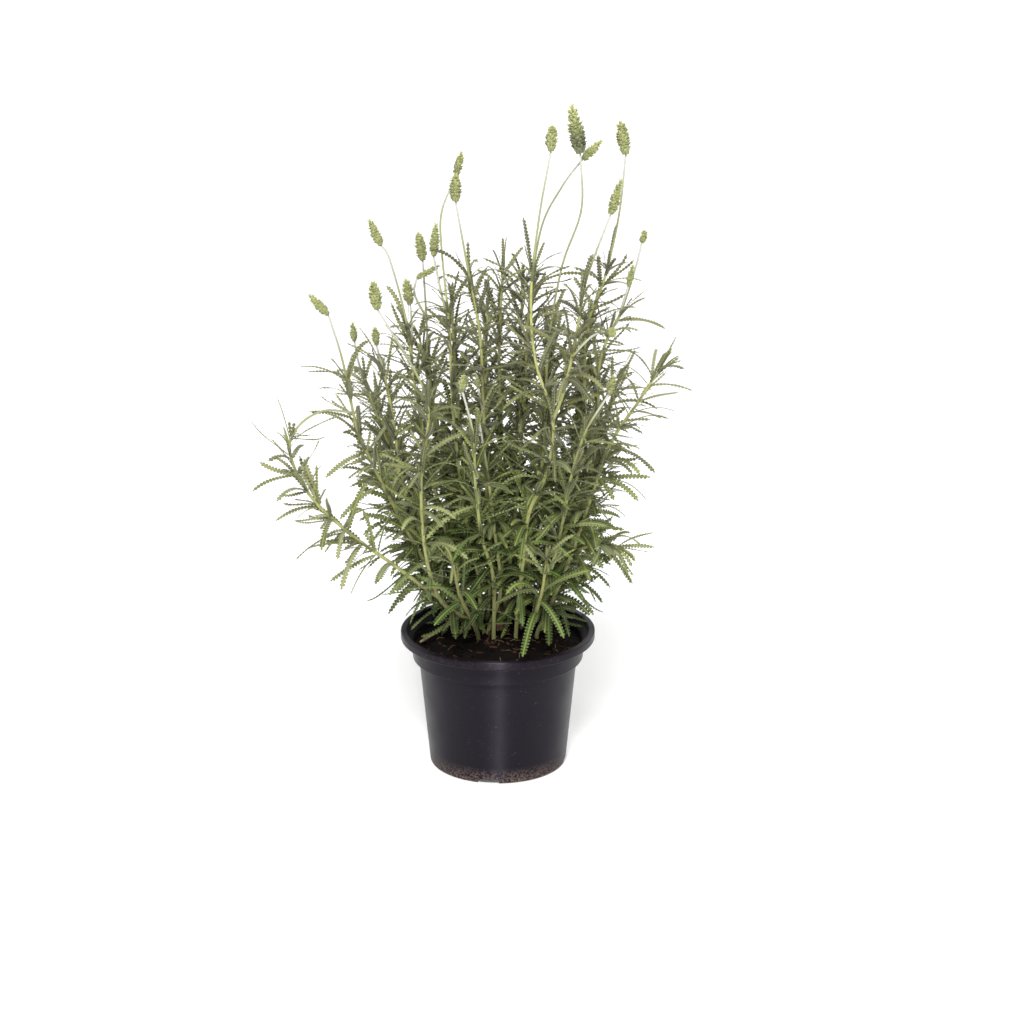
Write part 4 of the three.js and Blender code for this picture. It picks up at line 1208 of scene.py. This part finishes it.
def add_bark(shape, path, radii, sides, seed):
    """A woody stem with ridged bark, cut off at its end."""
    corners = []
    for ring, (point, radius, (first, second)) in enumerate(zip(path, radii, steady_frames(path))):
        for c, s in circle(sides):
            ridge = noise.noise(Vector((c * 2.2 + seed, s * 2.2, ring * 0.10))) * BARK_RIDGES
            ridge += noise.noise(Vector((c * 5, s * 5 + seed, ring * 0.35))) * BARK_GRAIN
            corners.append(point + (first * c + second * s) * radius * (1 + ridge))
    corners = np.array([*corners, path[0], path[-1]])
    shape.add(corners, outward(corners - corners.mean(0), sweep(len(path), sides)))


def make_crown(paint):
    """The woody stub, with two short branches cut off."""
    shape = Shape()
    height = SOIL_TOP + CROWN_HEIGHT - HOLE_BOTTOM
    shares = np.linspace(0, 1, CROWN_RINGS)
    base = vector((*CROWN_PLACE, HOLE_BOTTOM))
    path = base + UP * (shares * height)[:, None]
    radii = np.interp(shares, *zip(*CROWN_OUTLINE)) * CROWN_RADIUS * CROWN_SLIMMING
    add_bark(shape, path, radii, CROWN_SIDES, 3)
    for lean, turn, length, radius, start in CROWN_BRANCHES:
        way = rotated(rotated(UP, vector((0, 1, 0)), math.radians(lean)), UP, math.radians(turn))
        steps = np.linspace(0, 1, BRANCH_RINGS)
        path = base + UP * start + way * (steps * length)[:, None]
        add_bark(shape, path, radius * np.interp(steps, *zip(*BRANCH_OUTLINE)), BRANCH_SIDES, turn)
    shape.piece("woody_crown", [paint], ["crown"], "bark", CROWN_SHARP)


def make_stick(paint):
    """The dry stick, inside the box of its solid."""
    lowest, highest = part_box("dry_stick")
    start, end = vector(STICK_START), vector(STICK_END)
    shares = np.linspace(0, 1, STICK_RINGS)
    path = start + (end - start) * shares[:, None]
    path[:, 2] = np.interp(shares, (0, 1), (lowest.z / MM + STICK_RADIUS, highest.z / MM - STICK_RADIUS))
    path[:, :2] += STICK_BEND * np.stack([np.sin(shares * 9), np.cos(shares * 7)], 1)
    radii = STICK_RADIUS * np.interp(shares, *zip(*STICK_OUTLINE))
    shape = Shape()
    places = np.stack([shares, shares * 0, shares * 0], 1)
    tube(shape, path, radii, circle(12), steady_frames(path), STICK_TONE, places)
    shape.piece("dry_stick_twig", [paint], ["dry_stick"], "dry_stalk", STICK_SHARP)


def srgb(red, green, blue):
    """A colour given as on a screen, from 0 to 255."""
    channels = [c / 255 for c in (red, green, blue)]
    return (*[c / 12.92 if c <= 0.04045 else ((c + 0.055) / 1.055) ** 2.4 for c in channels], 1.0)


GRAIN_RANGE = (0.3, 0.7)


class Paint:
    """A material built from nodes."""

    def __init__(self, name, **settings):
        self.material = bpy.data.materials.new(name)
        self.material.use_nodes = True
        self.tree = self.material.node_tree
        self.shader = self.tree.nodes["Principled BSDF"]
        for socket, value in settings.items():
            self.shader.inputs[socket.replace("_", " ")].default_value = value

    def node(self, kind, inputs=(), **settings):
        made = self.tree.nodes.new("ShaderNode" + kind)
        for key, value in settings.items():
            setattr(made, key, value)
        for key, value in dict(inputs).items():
            self.feed(made.inputs[key], value)
        return made

    def feed(self, socket, value):
        if isinstance(value, bpy.types.NodeSocket):
            self.tree.links.new(value, socket)
        else:
            socket.default_value = value

    def place(self, stretch=(1, 1, 1)):
        """Where a point is on the part, in metres, stretched for streaks."""
        coordinates = self.node("TexCoord").outputs["Object"]
        return self.node("Mapping", {"Vector": coordinates, "Scale": stretch}).outputs["Vector"]

    def height(self):
        """How high a point is on the part, in metres."""
        return self.node("SeparateXYZ", {"Vector": self.node("TexCoord").outputs["Object"]}).outputs["Z"]

    def channels(self, attribute):
        """The three numbers that a mesh holds for this paint at each corner."""
        color = self.node("Attribute", attribute_name=attribute).outputs["Color"]
        return self.node("SeparateColor", {"Color": color}).outputs

    def noise(self, size, detail=4, stretch=(1, 1, 1), roughness=0.6):
        """Noise from 0 to 1, with features of about the given size in millimetres."""
        inputs = {"Vector": self.place(stretch), "Scale": 1 / (size * MM), "Detail": detail}
        return self.node("TexNoise", {**inputs, "Roughness": roughness}).outputs["Fac"]

    def spread(self, value, low, high, to_low=0.0, to_high=1.0):
        """Maps a value from one range to another and keeps it inside."""
        inputs = {"Value": value, "From Min": low, "From Max": high, "To Min": to_low, "To Max": to_high}
        return self.node("MapRange", inputs).outputs["Result"]

    def math(self, operation, a, b=0.0):
        made = self.node("Math", operation=operation)
        self.feed(made.inputs[0], a)
        self.feed(made.inputs[1], b)
        return made.outputs[0]

    def mix(self, share, a, b, blend_type="MIX"):
        made = self.node("Mix", data_type="RGBA", blend_type=blend_type)
        for index, value in ((0, share), (6, a), (7, b)):
            self.feed(made.inputs[index], value)
        return made.outputs[2]

    def shade(self, color, value, low, high):
        """The colour made darker or lighter by a value from 0 to 1."""
        factor = self.spread(value, 0, 1, low, high)
        gray = self.node("CombineColor", {"Red": factor, "Green": factor, "Blue": factor}).outputs["Color"]
        return self.mix(1.0, color, gray, "MULTIPLY")

    def finish(self, color, roughness, height=None, depth=0.1, strength=0.5):
        """Sets the colour, the roughness and the bump, whose depth is in millimetres."""
        self.feed(self.shader.inputs["Base Color"], color)
        self.feed(self.shader.inputs["Roughness"], roughness)
        if height is not None:
            bump = self.node("Bump", {"Height": height, "Distance": depth * MM, "Strength": strength})
            self.feed(self.shader.inputs["Normal"], bump.outputs["Normal"])
        return self.material

    def finish_grained(self, color, grain, roughness, depth, strength):
        """Finishes with one grain as the bump and as the roughness, between the two values given."""
        return self.finish(color, self.spread(grain, *GRAIN_RANGE, *roughness), grain, depth, strength)


# Stretches of height, in metres: where painted shade darkens the plant near the soil, where it gets darker to
# its top, and where the pot is dusty
SOIL_SHADE = (0.095, 0.17)
TOP_SHADE = (0.20, 0.34)
FOOT_DUST = (0.012, 0.0)
RIM_DIRT = (0.086, 0.096)


def leaf_paint():
    """Grey green above and paler below, fresher low down, with a pale rib and woolly edges; painted shade
    darkens it near its stem, inside the plant and near the soil, and painted light brightens the plant's
    outside.
    """
    paint = Paint("leaf", Sheen_Roughness=0.4, Specular_IOR_Level=0.22)
    tone, place = paint.channels("tone"), paint.channels("place")
    paint.feed(paint.shader.inputs["Sheen Weight"], paint.spread(tone["Green"], 0.0, 0.6, 0.22, 0.04))
    wool = paint.noise(0.5, 3)
    hue = paint.math("FRACT", paint.math("MULTIPLY", tone["Red"], 7.3))
    color = paint.mix(hue, srgb(96, 95, 40), srgb(106, 106, 64))
    color = paint.mix(tone["Green"], color, srgb(70, 98, 20))
    color = paint.mix(tone["Blue"], color, srgb(144, 152, 76))
    color = paint.mix(paint.spread(tone["Red"], 0.4, 1.0, 0.0, 0.7), color, srgb(102, 103, 78))
    # Painted light and shade: tone Red is the leaf's random tone plus painted shade inside the plant and
    # painted light at its outside
    color = paint.shade(color, tone["Red"], 0.42, 1.9)
    # Painted shade: darker towards the stem, where the leaf meets it
    color = paint.shade(color, paint.spread(place["Red"], 0.0, 0.4), 0.7, 1.0)
    color = paint.shade(color, paint.noise(6, 2), 0.84, 1.14)
    color = paint.mix(paint.spread(place["Blue"], 0.5, 1.0, 0, 0.6), color, srgb(118, 122, 84))
    rib = paint.spread(place["Green"], 0.0, 0.2, 0.55, 0.0)
    color = paint.mix(rib, color, srgb(162, 168, 118))
    edge = paint.spread(place["Green"], 0.6, 1.0, 0.0, 0.85)
    color = paint.mix(paint.math("MULTIPLY", edge, wool), color, srgb(182, 184, 152))
    color = paint.shade(color, wool, 0.86, 1.12)
    height = paint.height()
    # Painted shade, darker near the soil
    color = paint.shade(color, paint.spread(height, *SOIL_SHADE), 0.72, 1.0)
    color = paint.shade(color, paint.spread(height, *TOP_SHADE), 1.0, 0.82)
    return paint.finish_grained(color, wool, (0.5, 0.78), 0.10, 0.6)


def stem_paint():
    """Yellow green with pale ridges, and white wool below a flower head; painted shade darkens it near the
    soil.
    """
    paint = Paint("stem", Sheen_Weight=0.08, Specular_IOR_Level=0.25)
    tone, place = paint.channels("tone"), paint.channels("place")
    streaks = paint.noise(1.2, 3, (1, 1, 0.12))
    color = paint.mix(tone["Green"], srgb(146, 148, 92), srgb(122, 120, 52))
    color = paint.shade(color, tone["Red"], 0.82, 1.14)
    color = paint.mix(paint.spread(streaks, 0.5, 0.75, 0, 0.6), color, srgb(170, 174, 116))
    color = paint.mix(paint.spread(place["Green"], 0.2, 1.0, 0, 0.4), color, srgb(104, 98, 54))
    color = paint.mix(paint.math("MULTIPLY", place["Blue"], 0.75), color, srgb(126, 130, 104))
    color = paint.mix(tone["Blue"], color, srgb(168, 167, 158))
    # Painted shade, darker near the soil
    color = paint.shade(color, paint.spread(paint.height(), *SOIL_SHADE), 0.5, 1.0)
    return paint.finish_grained(color, streaks, (0.5, 0.72), 0.12, 0.6)


def head_paint():
    """Yellow-green bracts with paler points and edges, over grey-green cups, with painted shade at the bases
    of the bracts.
    """
    paint = Paint("flower_head", Sheen_Weight=0.25, Specular_IOR_Level=0.3)
    tone, place = paint.channels("tone"), paint.channels("place")
    veins = paint.noise(0.5, 2, (1, 1, 0.25))
    color = paint.mix(tone["Green"], srgb(140, 144, 80), srgb(164, 168, 108))
    color = paint.shade(color, tone["Red"], 0.78, 1.18)
    color = paint.mix(paint.spread(place["Red"], 0.55, 1.0, 0, 0.55), color, srgb(194, 198, 146))
    color = paint.mix(paint.spread(place["Green"], 0.6, 1.0, 0, 0.35), color, srgb(196, 198, 158))
    # Painted shade: darker at the base of each bract, where it tucks under the row above
    color = paint.shade(color, paint.spread(place["Red"], 0.0, 0.35), 0.6, 1.0)
    color = paint.mix(tone["Blue"], color, srgb(86, 92, 62))
    color = paint.shade(color, veins, 0.82, 1.15)
    return paint.finish_grained(color, veins, (0.5, 0.75), 0.08, 0.6)


def pot_paint():
    """Bluish black plastic with a fine grain, handling marks, and dried soil near the foot."""
    paint = Paint("pot_plastic", Specular_IOR_Level=0.22, Anisotropic=0.92, Anisotropic_Rotation=0.25)
    paint.shader.inputs["Specular Tint"].default_value = (0.92, 0.82, 1.0, 1.0)
    height = paint.height()
    cloud = paint.noise(22, 4)
    grain = paint.noise(0.6, 3)
    color = paint.mix(paint.spread(cloud, 0.35, 0.7), srgb(9, 6, 12), srgb(15, 12, 19))
    scratches = paint.noise(1.6, 2, (0.35, 0.35, 1.5), 0.7)
    color = paint.mix(paint.spread(scratches, 0.68, 0.76, 0, 0.35), color, srgb(104, 98, 106))
    nicks = paint.spread(paint.noise(0.9, 3, (1, 1, 0.8), 0.8), 0.70, 0.76, 0, 0.6)
    color = paint.mix(nicks, color, srgb(118, 110, 112))
    specks = paint.spread(paint.noise(1.5, 6), 0.44, 0.60)
    dust = paint.math("MULTIPLY", paint.spread(height, *FOOT_DUST), specks)
    color = paint.mix(paint.math("MULTIPLY", dust, 0.8), color, srgb(116, 100, 90))
    stains = paint.spread(paint.noise(2, 6), 0.56, 0.68)
    rim = paint.math("MULTIPLY", paint.spread(height, *RIM_DIRT), stains)
    color = paint.mix(paint.math("MULTIPLY", rim, 0.5), color, srgb(66, 48, 38))
    rough = paint.math("ADD", paint.spread(cloud, 0.3, 0.7, 0.38, 0.46), paint.math("MULTIPLY", dust, 0.35))
    return paint.finish(color, rough, grain, 0.05, 0.35)


def soil_paint():
    """Dark peat with paler crumbs, reddish chips of bark and straw-coloured fibres."""
    paint = Paint("soil", Specular_IOR_Level=0.12)
    tone = paint.channels("tone")
    grain = paint.noise(0.9, 5)
    color = paint.mix(paint.spread(paint.noise(9, 4), 0.35, 0.7), srgb(8, 6, 5), srgb(20, 14, 11))
    color = paint.shade(color, tone["Red"], 0.4, 2.6)
    color = paint.mix(paint.math("MULTIPLY", tone["Green"], 0.7), color, srgb(72, 48, 34))
    color = paint.mix(paint.math("MULTIPLY", tone["Blue"], 0.75), color, srgb(122, 100, 70))
    color = paint.shade(color, grain, 0.55, 1.5)
    return paint.finish_grained(color, grain, (0.75, 0.98), 0.4, 0.8)


def bark_paint():
    """Brown bark with pale upright ridges."""
    paint = Paint("bark", Specular_IOR_Level=0.3)
    ridges = paint.noise(1.6, 5, (1, 1, 0.16))
    color = paint.mix(paint.spread(ridges, 0.35, 0.7), srgb(64, 46, 34), srgb(142, 112, 82))
    color = paint.shade(color, paint.noise(5, 3), 0.7, 1.25)
    return paint.finish_grained(color, ridges, (0.7, 0.95), 0.5, 0.8)


def straw_paint():
    """Pale straw with streaks along it."""
    paint = Paint("straw", Specular_IOR_Level=0.35)
    streaks = paint.noise(0.9, 4, (0.25, 0.25, 1))
    color = paint.mix(paint.spread(streaks, 0.35, 0.7), srgb(150, 126, 92), srgb(208, 190, 154))
    return paint.finish_grained(color, streaks, (0.6, 0.85), 0.15, 0.6)


def floor_paint():
    """Nearly white paper with faint clouds."""
    paint = Paint("pale_floor", Specular_IOR_Level=0.2)
    cloud = paint.noise(180, 3)
    color = paint.mix(cloud, srgb(250, 250, 250), srgb(253, 253, 252))
    return paint.finish(color, paint.spread(cloud, 0, 1, 0.8, 0.95))


# Plant: the main leaves first, as in the solids, then the finer ones between them. Pairs of values are a
# least and a most, but BREADTH and TIP_SCALE go from the lowest leaves of a shoot to its highest.
PAIRS_BETWEEN = 2
LOW_STEP = 4
FRONT_FEET = 2
BREADTH = (1.05, 0.75)
SIDE_STRAY = (-40, 40)
RISE = (-26, 18)
CURL = (-0.5, 1.5)
TIP_FROM = 0.7
TIP_SCALE = (1, 0.72)
TIP_LEAVES = 6
TIP_STEP = 4
TIP_GAP = 0.8
TIP_RISE, TIP_LEAN = -24, 9
TIP_LEAST, TIP_GROWTH = 0.3, 0.16

# The crown is seen between these values of x and below this height, and the low front stays airy
CROWN_VIEW = (-16, 18, 128)
AIRY_FRONT = -12
AIRY_HEIGHT = 168

# How many young leaves stand in the corner of a leaf, above and below this share of the leafy stretch
UPPER_SHARE = 0.8
UPPER_CLUSTER, LOWER_CLUSTER = (1, 2, 2), (3, 3, 4)

# How the finer leaves look for room
BETWEEN_ROOM = {"reach": 1.0, "gap": 0.0, "tries": 14, "count": 8}
LOW_ROOM = {"reach": 0.9, "gap": 0.0, "tries": 8, "count": 6}
TIP_ROOM = {"reach": 1.2, "gap": 0.1, "tries": 3, "count": 4}
CLUSTER_ROOM = {"reach": 0.45, "gap": 0.0, "tries": 7, "count": 5}

# Where the plant is fresh green, by height and by distance from its middle, and where painted shade inside it
# gives way to painted light at its outside
FRESH_HEIGHT = (330, 130)
FRESH_RADIUS = (115, 25)
PAINTED_LIGHT_RADIUS = (25, 110)
OLD_STEM_HEIGHT = (260, 110)

# Teeth on each side of a leaf of at least the given length
TEETH = ((38, 15), (32, 13), (25, 11), (18, 8), (12, 6), (0, 4))

# The one ripe flower head, and how much of its dark cups a ripe and an unripe one show
RIPE_HEAD = "middle_tall"
RIPE, UNRIPE = 1.0, 0.25


def between_places(strand):
    """Pairs of leaves between the main ones, each turned a quarter from the one above."""
    start, end = strand.shoot["leafy"]
    low, span = start * strand.length, (end - start) * strand.length
    found = []
    for place in leaf_places_on(strand):
        for j in range(1, PAIRS_BETWEEN + 1):
            lower = PAIR_STEP * j / (PAIRS_BETWEEN + 1)
            share = place["share"] - lower / span
            if place["distance"] - lower > low:
                draw = draws(place["seed"] + 7 * j)
                found.append({
                    **place,
                    "distance": place["distance"] - lower,
                    "turn": place["turn"] + 90 * j + blend(SIDE_STRAY, next(draw)),
                    "rise": blend(RISE, next(draw)),
                    "share": share,
                    "scale": blend(TIP_SCALE, smooth(TIP_FROM, 1.0, share)),
                    "curl": blend(CURL, next(draw)),
                    "at_tip": False,
                    "seed": place["seed"] + BETWEEN_SEED * j,
                })
    return found


def cluster_places(place, chance):
    """Younger leaves in the corner between a leaf and its stem."""
    found = []
    x, y, z = place["root"]
    hides_crown = CROWN_VIEW[0] < x < CROWN_VIEW[1] and y < CROWN_PLACE[1] and z < CROWN_VIEW[2]
    if hides_crown or (y < AIRY_FRONT and z < AIRY_HEIGHT):
        return found
    for i in range(chance.choice(UPPER_CLUSTER if place["share"] > UPPER_SHARE else LOWER_CLUSTER)):
        found.append({
            **place,
            "distance": place["distance"] + chance.uniform(0.2, 3.4),
            "turn": place["turn"] + chance.choice((-1, 1)) * chance.uniform(8, 75),
            "rise": chance.uniform(-36, 22),
            "scale": chance.uniform(0.3, 0.92),
            "breadth": blend(BREADTH, place["share"]) * chance.uniform(0.78, 1.05),
            "curl": chance.uniform(-0.6, 1.3),
            "young": chance.uniform(0.0, 0.35),
            "at_tip": False,
            "seed": place["seed"] + CLUSTER_SEED + STRAND_SEED * i,
        })
    return found


def low_places(strand, chance):
    """Leaves below the leafy stretch of a stem that comes out of the soil."""
    low = strand.shoot["leafy"][0] * strand.length
    distance, found = FOOT_TOP - HOLE_BOTTOM + LOW_STEP, []
    while "foot" in strand.shoot and strand.shoot["foot"][1] > FRONT_FEET and distance < low:
        found.append({
            "distance": distance,
            "turn": chance.uniform(0, 360),
            "rise": chance.uniform(-20, 20),
            "share": 0,
            "scale": chance.uniform(0.4, 0.85),
            "breadth": chance.uniform(0.75, 1.0),
            "curl": chance.uniform(-0.6, 1.2),
            "at_tip": False,
            "seed": strand.order * STRAND_SEED + LOW_SEED + int(distance * 10),
        })
        distance += chance.uniform(0.6, 1.4) * LOW_STEP
    return found


def tip_places(strand, chance):
    """Short upright leaves round the top of the leafy stretch."""
    low, high = [share * strand.length for share in strand.shoot["leafy"]]
    found = []
    if high <= low:
        return found
    for i in range(TIP_LEAVES):
        pair, half = divmod(i, 2)
        found.append({
            "distance": high - TIP_GAP - pair * TIP_STEP,
            "turn": strand.shoot.get("turn", 0) + 90 + half * 180 + pair * 90,
            "share": 1,
            "rise": TIP_RISE + pair * TIP_LEAN,
            "scale": TIP_LEAST + TIP_GROWTH * pair + chance.uniform(0, TIP_GROWTH),
            "breadth": chance.uniform(0.6, 1.0),
            "young": chance.uniform(0.3, 0.8),
            "at_tip": False,
            "seed": strand.order * STRAND_SEED + TIP_SEED + i,
        })
    return found


def leaf_tone(leaf, chance):
    """Shade, freshness and youth of a leaf: fresher low down and inside the plant; its shade is a random tone
    with painted shade inside the plant and painted light at its outside.
    """
    x, y, z = leaf["root"]
    from_middle = math.hypot(x, y)
    fresh = smooth(*FRESH_HEIGHT, z) * (0.2 + 0.8 * smooth(*FRESH_RADIUS, from_middle))
    # A random tone plus painted shade inside the plant and painted light at its outside
    shade = 0.78 * chance.random() + 0.22 * smooth(*PAINTED_LIGHT_RADIUS, from_middle)
    return (min(1, shade), min(1, fresh * chance.uniform(0.6, 1.1)), leaf["young"] * 0.8)


def teeth_for(length):
    return next(teeth for least, teeth in TEETH if length >= least)


def grow_all(everyone, chance):
    """Grows all leaves, the main ones of the solids first, so that these find the same room as there."""
    room = Room()
    for strand in everyone:
        add_stem(room, strand)
    for strand in everyone:
        for place in leaf_places_on(strand):
            grow(room, strand, place)
    for strand in everyone:
        for place in between_places(strand):
            grow(room, strand, place, **BETWEEN_ROOM)
    for strand in everyone:
        for place in low_places(strand, chance):
            grow(room, strand, place, **LOW_ROOM)
        for place in tip_places(strand, chance):
            grow(room, strand, place, **TIP_ROOM)
        for place in leaf_places_on(strand) + between_places(strand):
            place["root"] = strand.place(place["distance"])[0]
            for small in cluster_places({**place, "scale": 1}, chance):
                grow(room, strand, small, **CLUSTER_ROOM)


def make_plant(leaf_material, stem_material, head_material):
    """One piece of foliage for each shoot, and one flower head for each stalk."""
    strands = []
    for order, shoot in enumerate(SHOOTS):
        stems = [shoot, *shoot.get("sides", [])]
        strands.append([Strand(stem, order, order * 4 + i + 1) for i, stem in enumerate(stems)])
    chance = random.Random(5)
    grow_all([strand for group in strands for strand in group], chance)
    for shoot, group in zip(SHOOTS, strands):
        shape, name = Shape(), shoot["name"]
        for strand in group:
            add_stem_shape(shape, strand, (chance.random(), smooth(*OLD_STEM_HEIGHT, strand.end[2]), 0))
            for leaf in strand.leaves:
                add_leaf(shape, leaf, teeth_for(leaf["length"]), leaf_tone(leaf, chance), chance)
        shape.piece("foliage_" + name, [leaf_material, stem_material], ["shoot_" + name], "foliage")
        for strand in group:
            if "head" in strand.shoot:
                side = "" if strand.shoot is shoot else "_" + strand.shoot["name"]
                make_head(strand, name + side, head_material)


def make_head(strand, name, material):
    """The flower head at the end of a stalk."""
    axis = strand.head_axis()
    length, width = np.linalg.norm(axis), strand.shoot["head"]["width"]
    shape = head_shape(length - GAP, width, RIPE if name == RIPE_HEAD else UNRIPE, strand.order)
    turn = np.array(UP_VECTOR.rotation_difference(Vector(axis)).to_matrix())
    start = strand.end + unit(axis) * GAP
    shape.corners = [corners @ turn.T + start for corners in shape.corners]
    shape.piece("bloom_" + name, [material], ["head_" + name], "flower_head")


# Camera, lights and floor. The camera's place is in millimetres, and the rest of the stage is in metres.
CAMERA_PLACE = (10.2, -1499.6, 657.7)
CAMERA_PITCH = 17.41
FOCAL_PIXELS = 2214
IMAGE_PIXELS = 1024
SENSOR = 36
PLANT_MIDDLE = (0, 0, 0.25)
LAMPS = (
    {"name": "key", "place": (-0.12, -1.7, 2.1), "target": PLANT_MIDDLE, "size": (0.8, 0.8), "power": 74},
    {"name": "front", "place": (0.11, -2.0, 0.45), "target": PLANT_MIDDLE, "size": (0.08, 0.6), "power": 18},
    {"name": "backdrop", "place": (0, 6, 4.5), "target": (0, 5.5, 0), "size": (9, 7), "power": 500},
)
WORLD_STRENGTH = 0.40
FLOOR_HALF = 30
FLOOR_DROP = 0.0005


def make_camera():
    data = bpy.data.cameras.new("camera")
    data.sensor_width = SENSOR
    data.lens = SENSOR * FOCAL_PIXELS / IMAGE_PIXELS
    data.clip_start, data.clip_end = 0.05, 60
    camera = linked("camera", data)
    camera.location = vector(CAMERA_PLACE) * MM
    camera.rotation_euler = (math.radians(90 - CAMERA_PITCH), 0, 0)
    bpy.context.scene.camera = camera


def make_light(name, place, target, size, power):
    """A soft oblong lamp that looks at its target."""
    data = bpy.data.lights.new(name, "AREA")
    data.shape, data.size, data.size_y, data.energy = "RECTANGLE", size[0], size[1], power
    light = linked(name, data)
    light.location = place
    light.rotation_euler = (Vector(target) - Vector(place)).to_track_quat("-Z", "Y").to_euler()


def make_stage():
    """The floor, the even light of the studio and its lamps."""
    mesh = bpy.data.meshes.new("floor")
    corners = [(x * FLOOR_HALF, y * FLOOR_HALF, 0) for x, y in ((-1, -1), (1, -1), (1, 1), (-1, 1))]
    mesh.from_pydata(corners, [], [(0, 1, 2, 3)])
    mesh.materials.append(floor_paint())
    floor = linked("floor", mesh)
    floor.location.z = -FLOOR_DROP
    world = bpy.data.worlds.new("studio")
    world.use_nodes = True
    background = world.node_tree.nodes["Background"].inputs
    background["Color"].default_value = (1, 1, 1, 1)
    background["Strength"].default_value = WORLD_STRENGTH
    bpy.context.scene.world = world
    bpy.context.scene.view_settings.view_transform = "Standard"
    for lamp in LAMPS:
        make_light(**lamp)


make_camera()
make_stage()
make_pot(pot_paint())
make_soil(soil_paint())
make_crown(bark_paint())
make_stick(straw_paint())
make_plant(leaf_paint(), stem_paint(), head_paint())
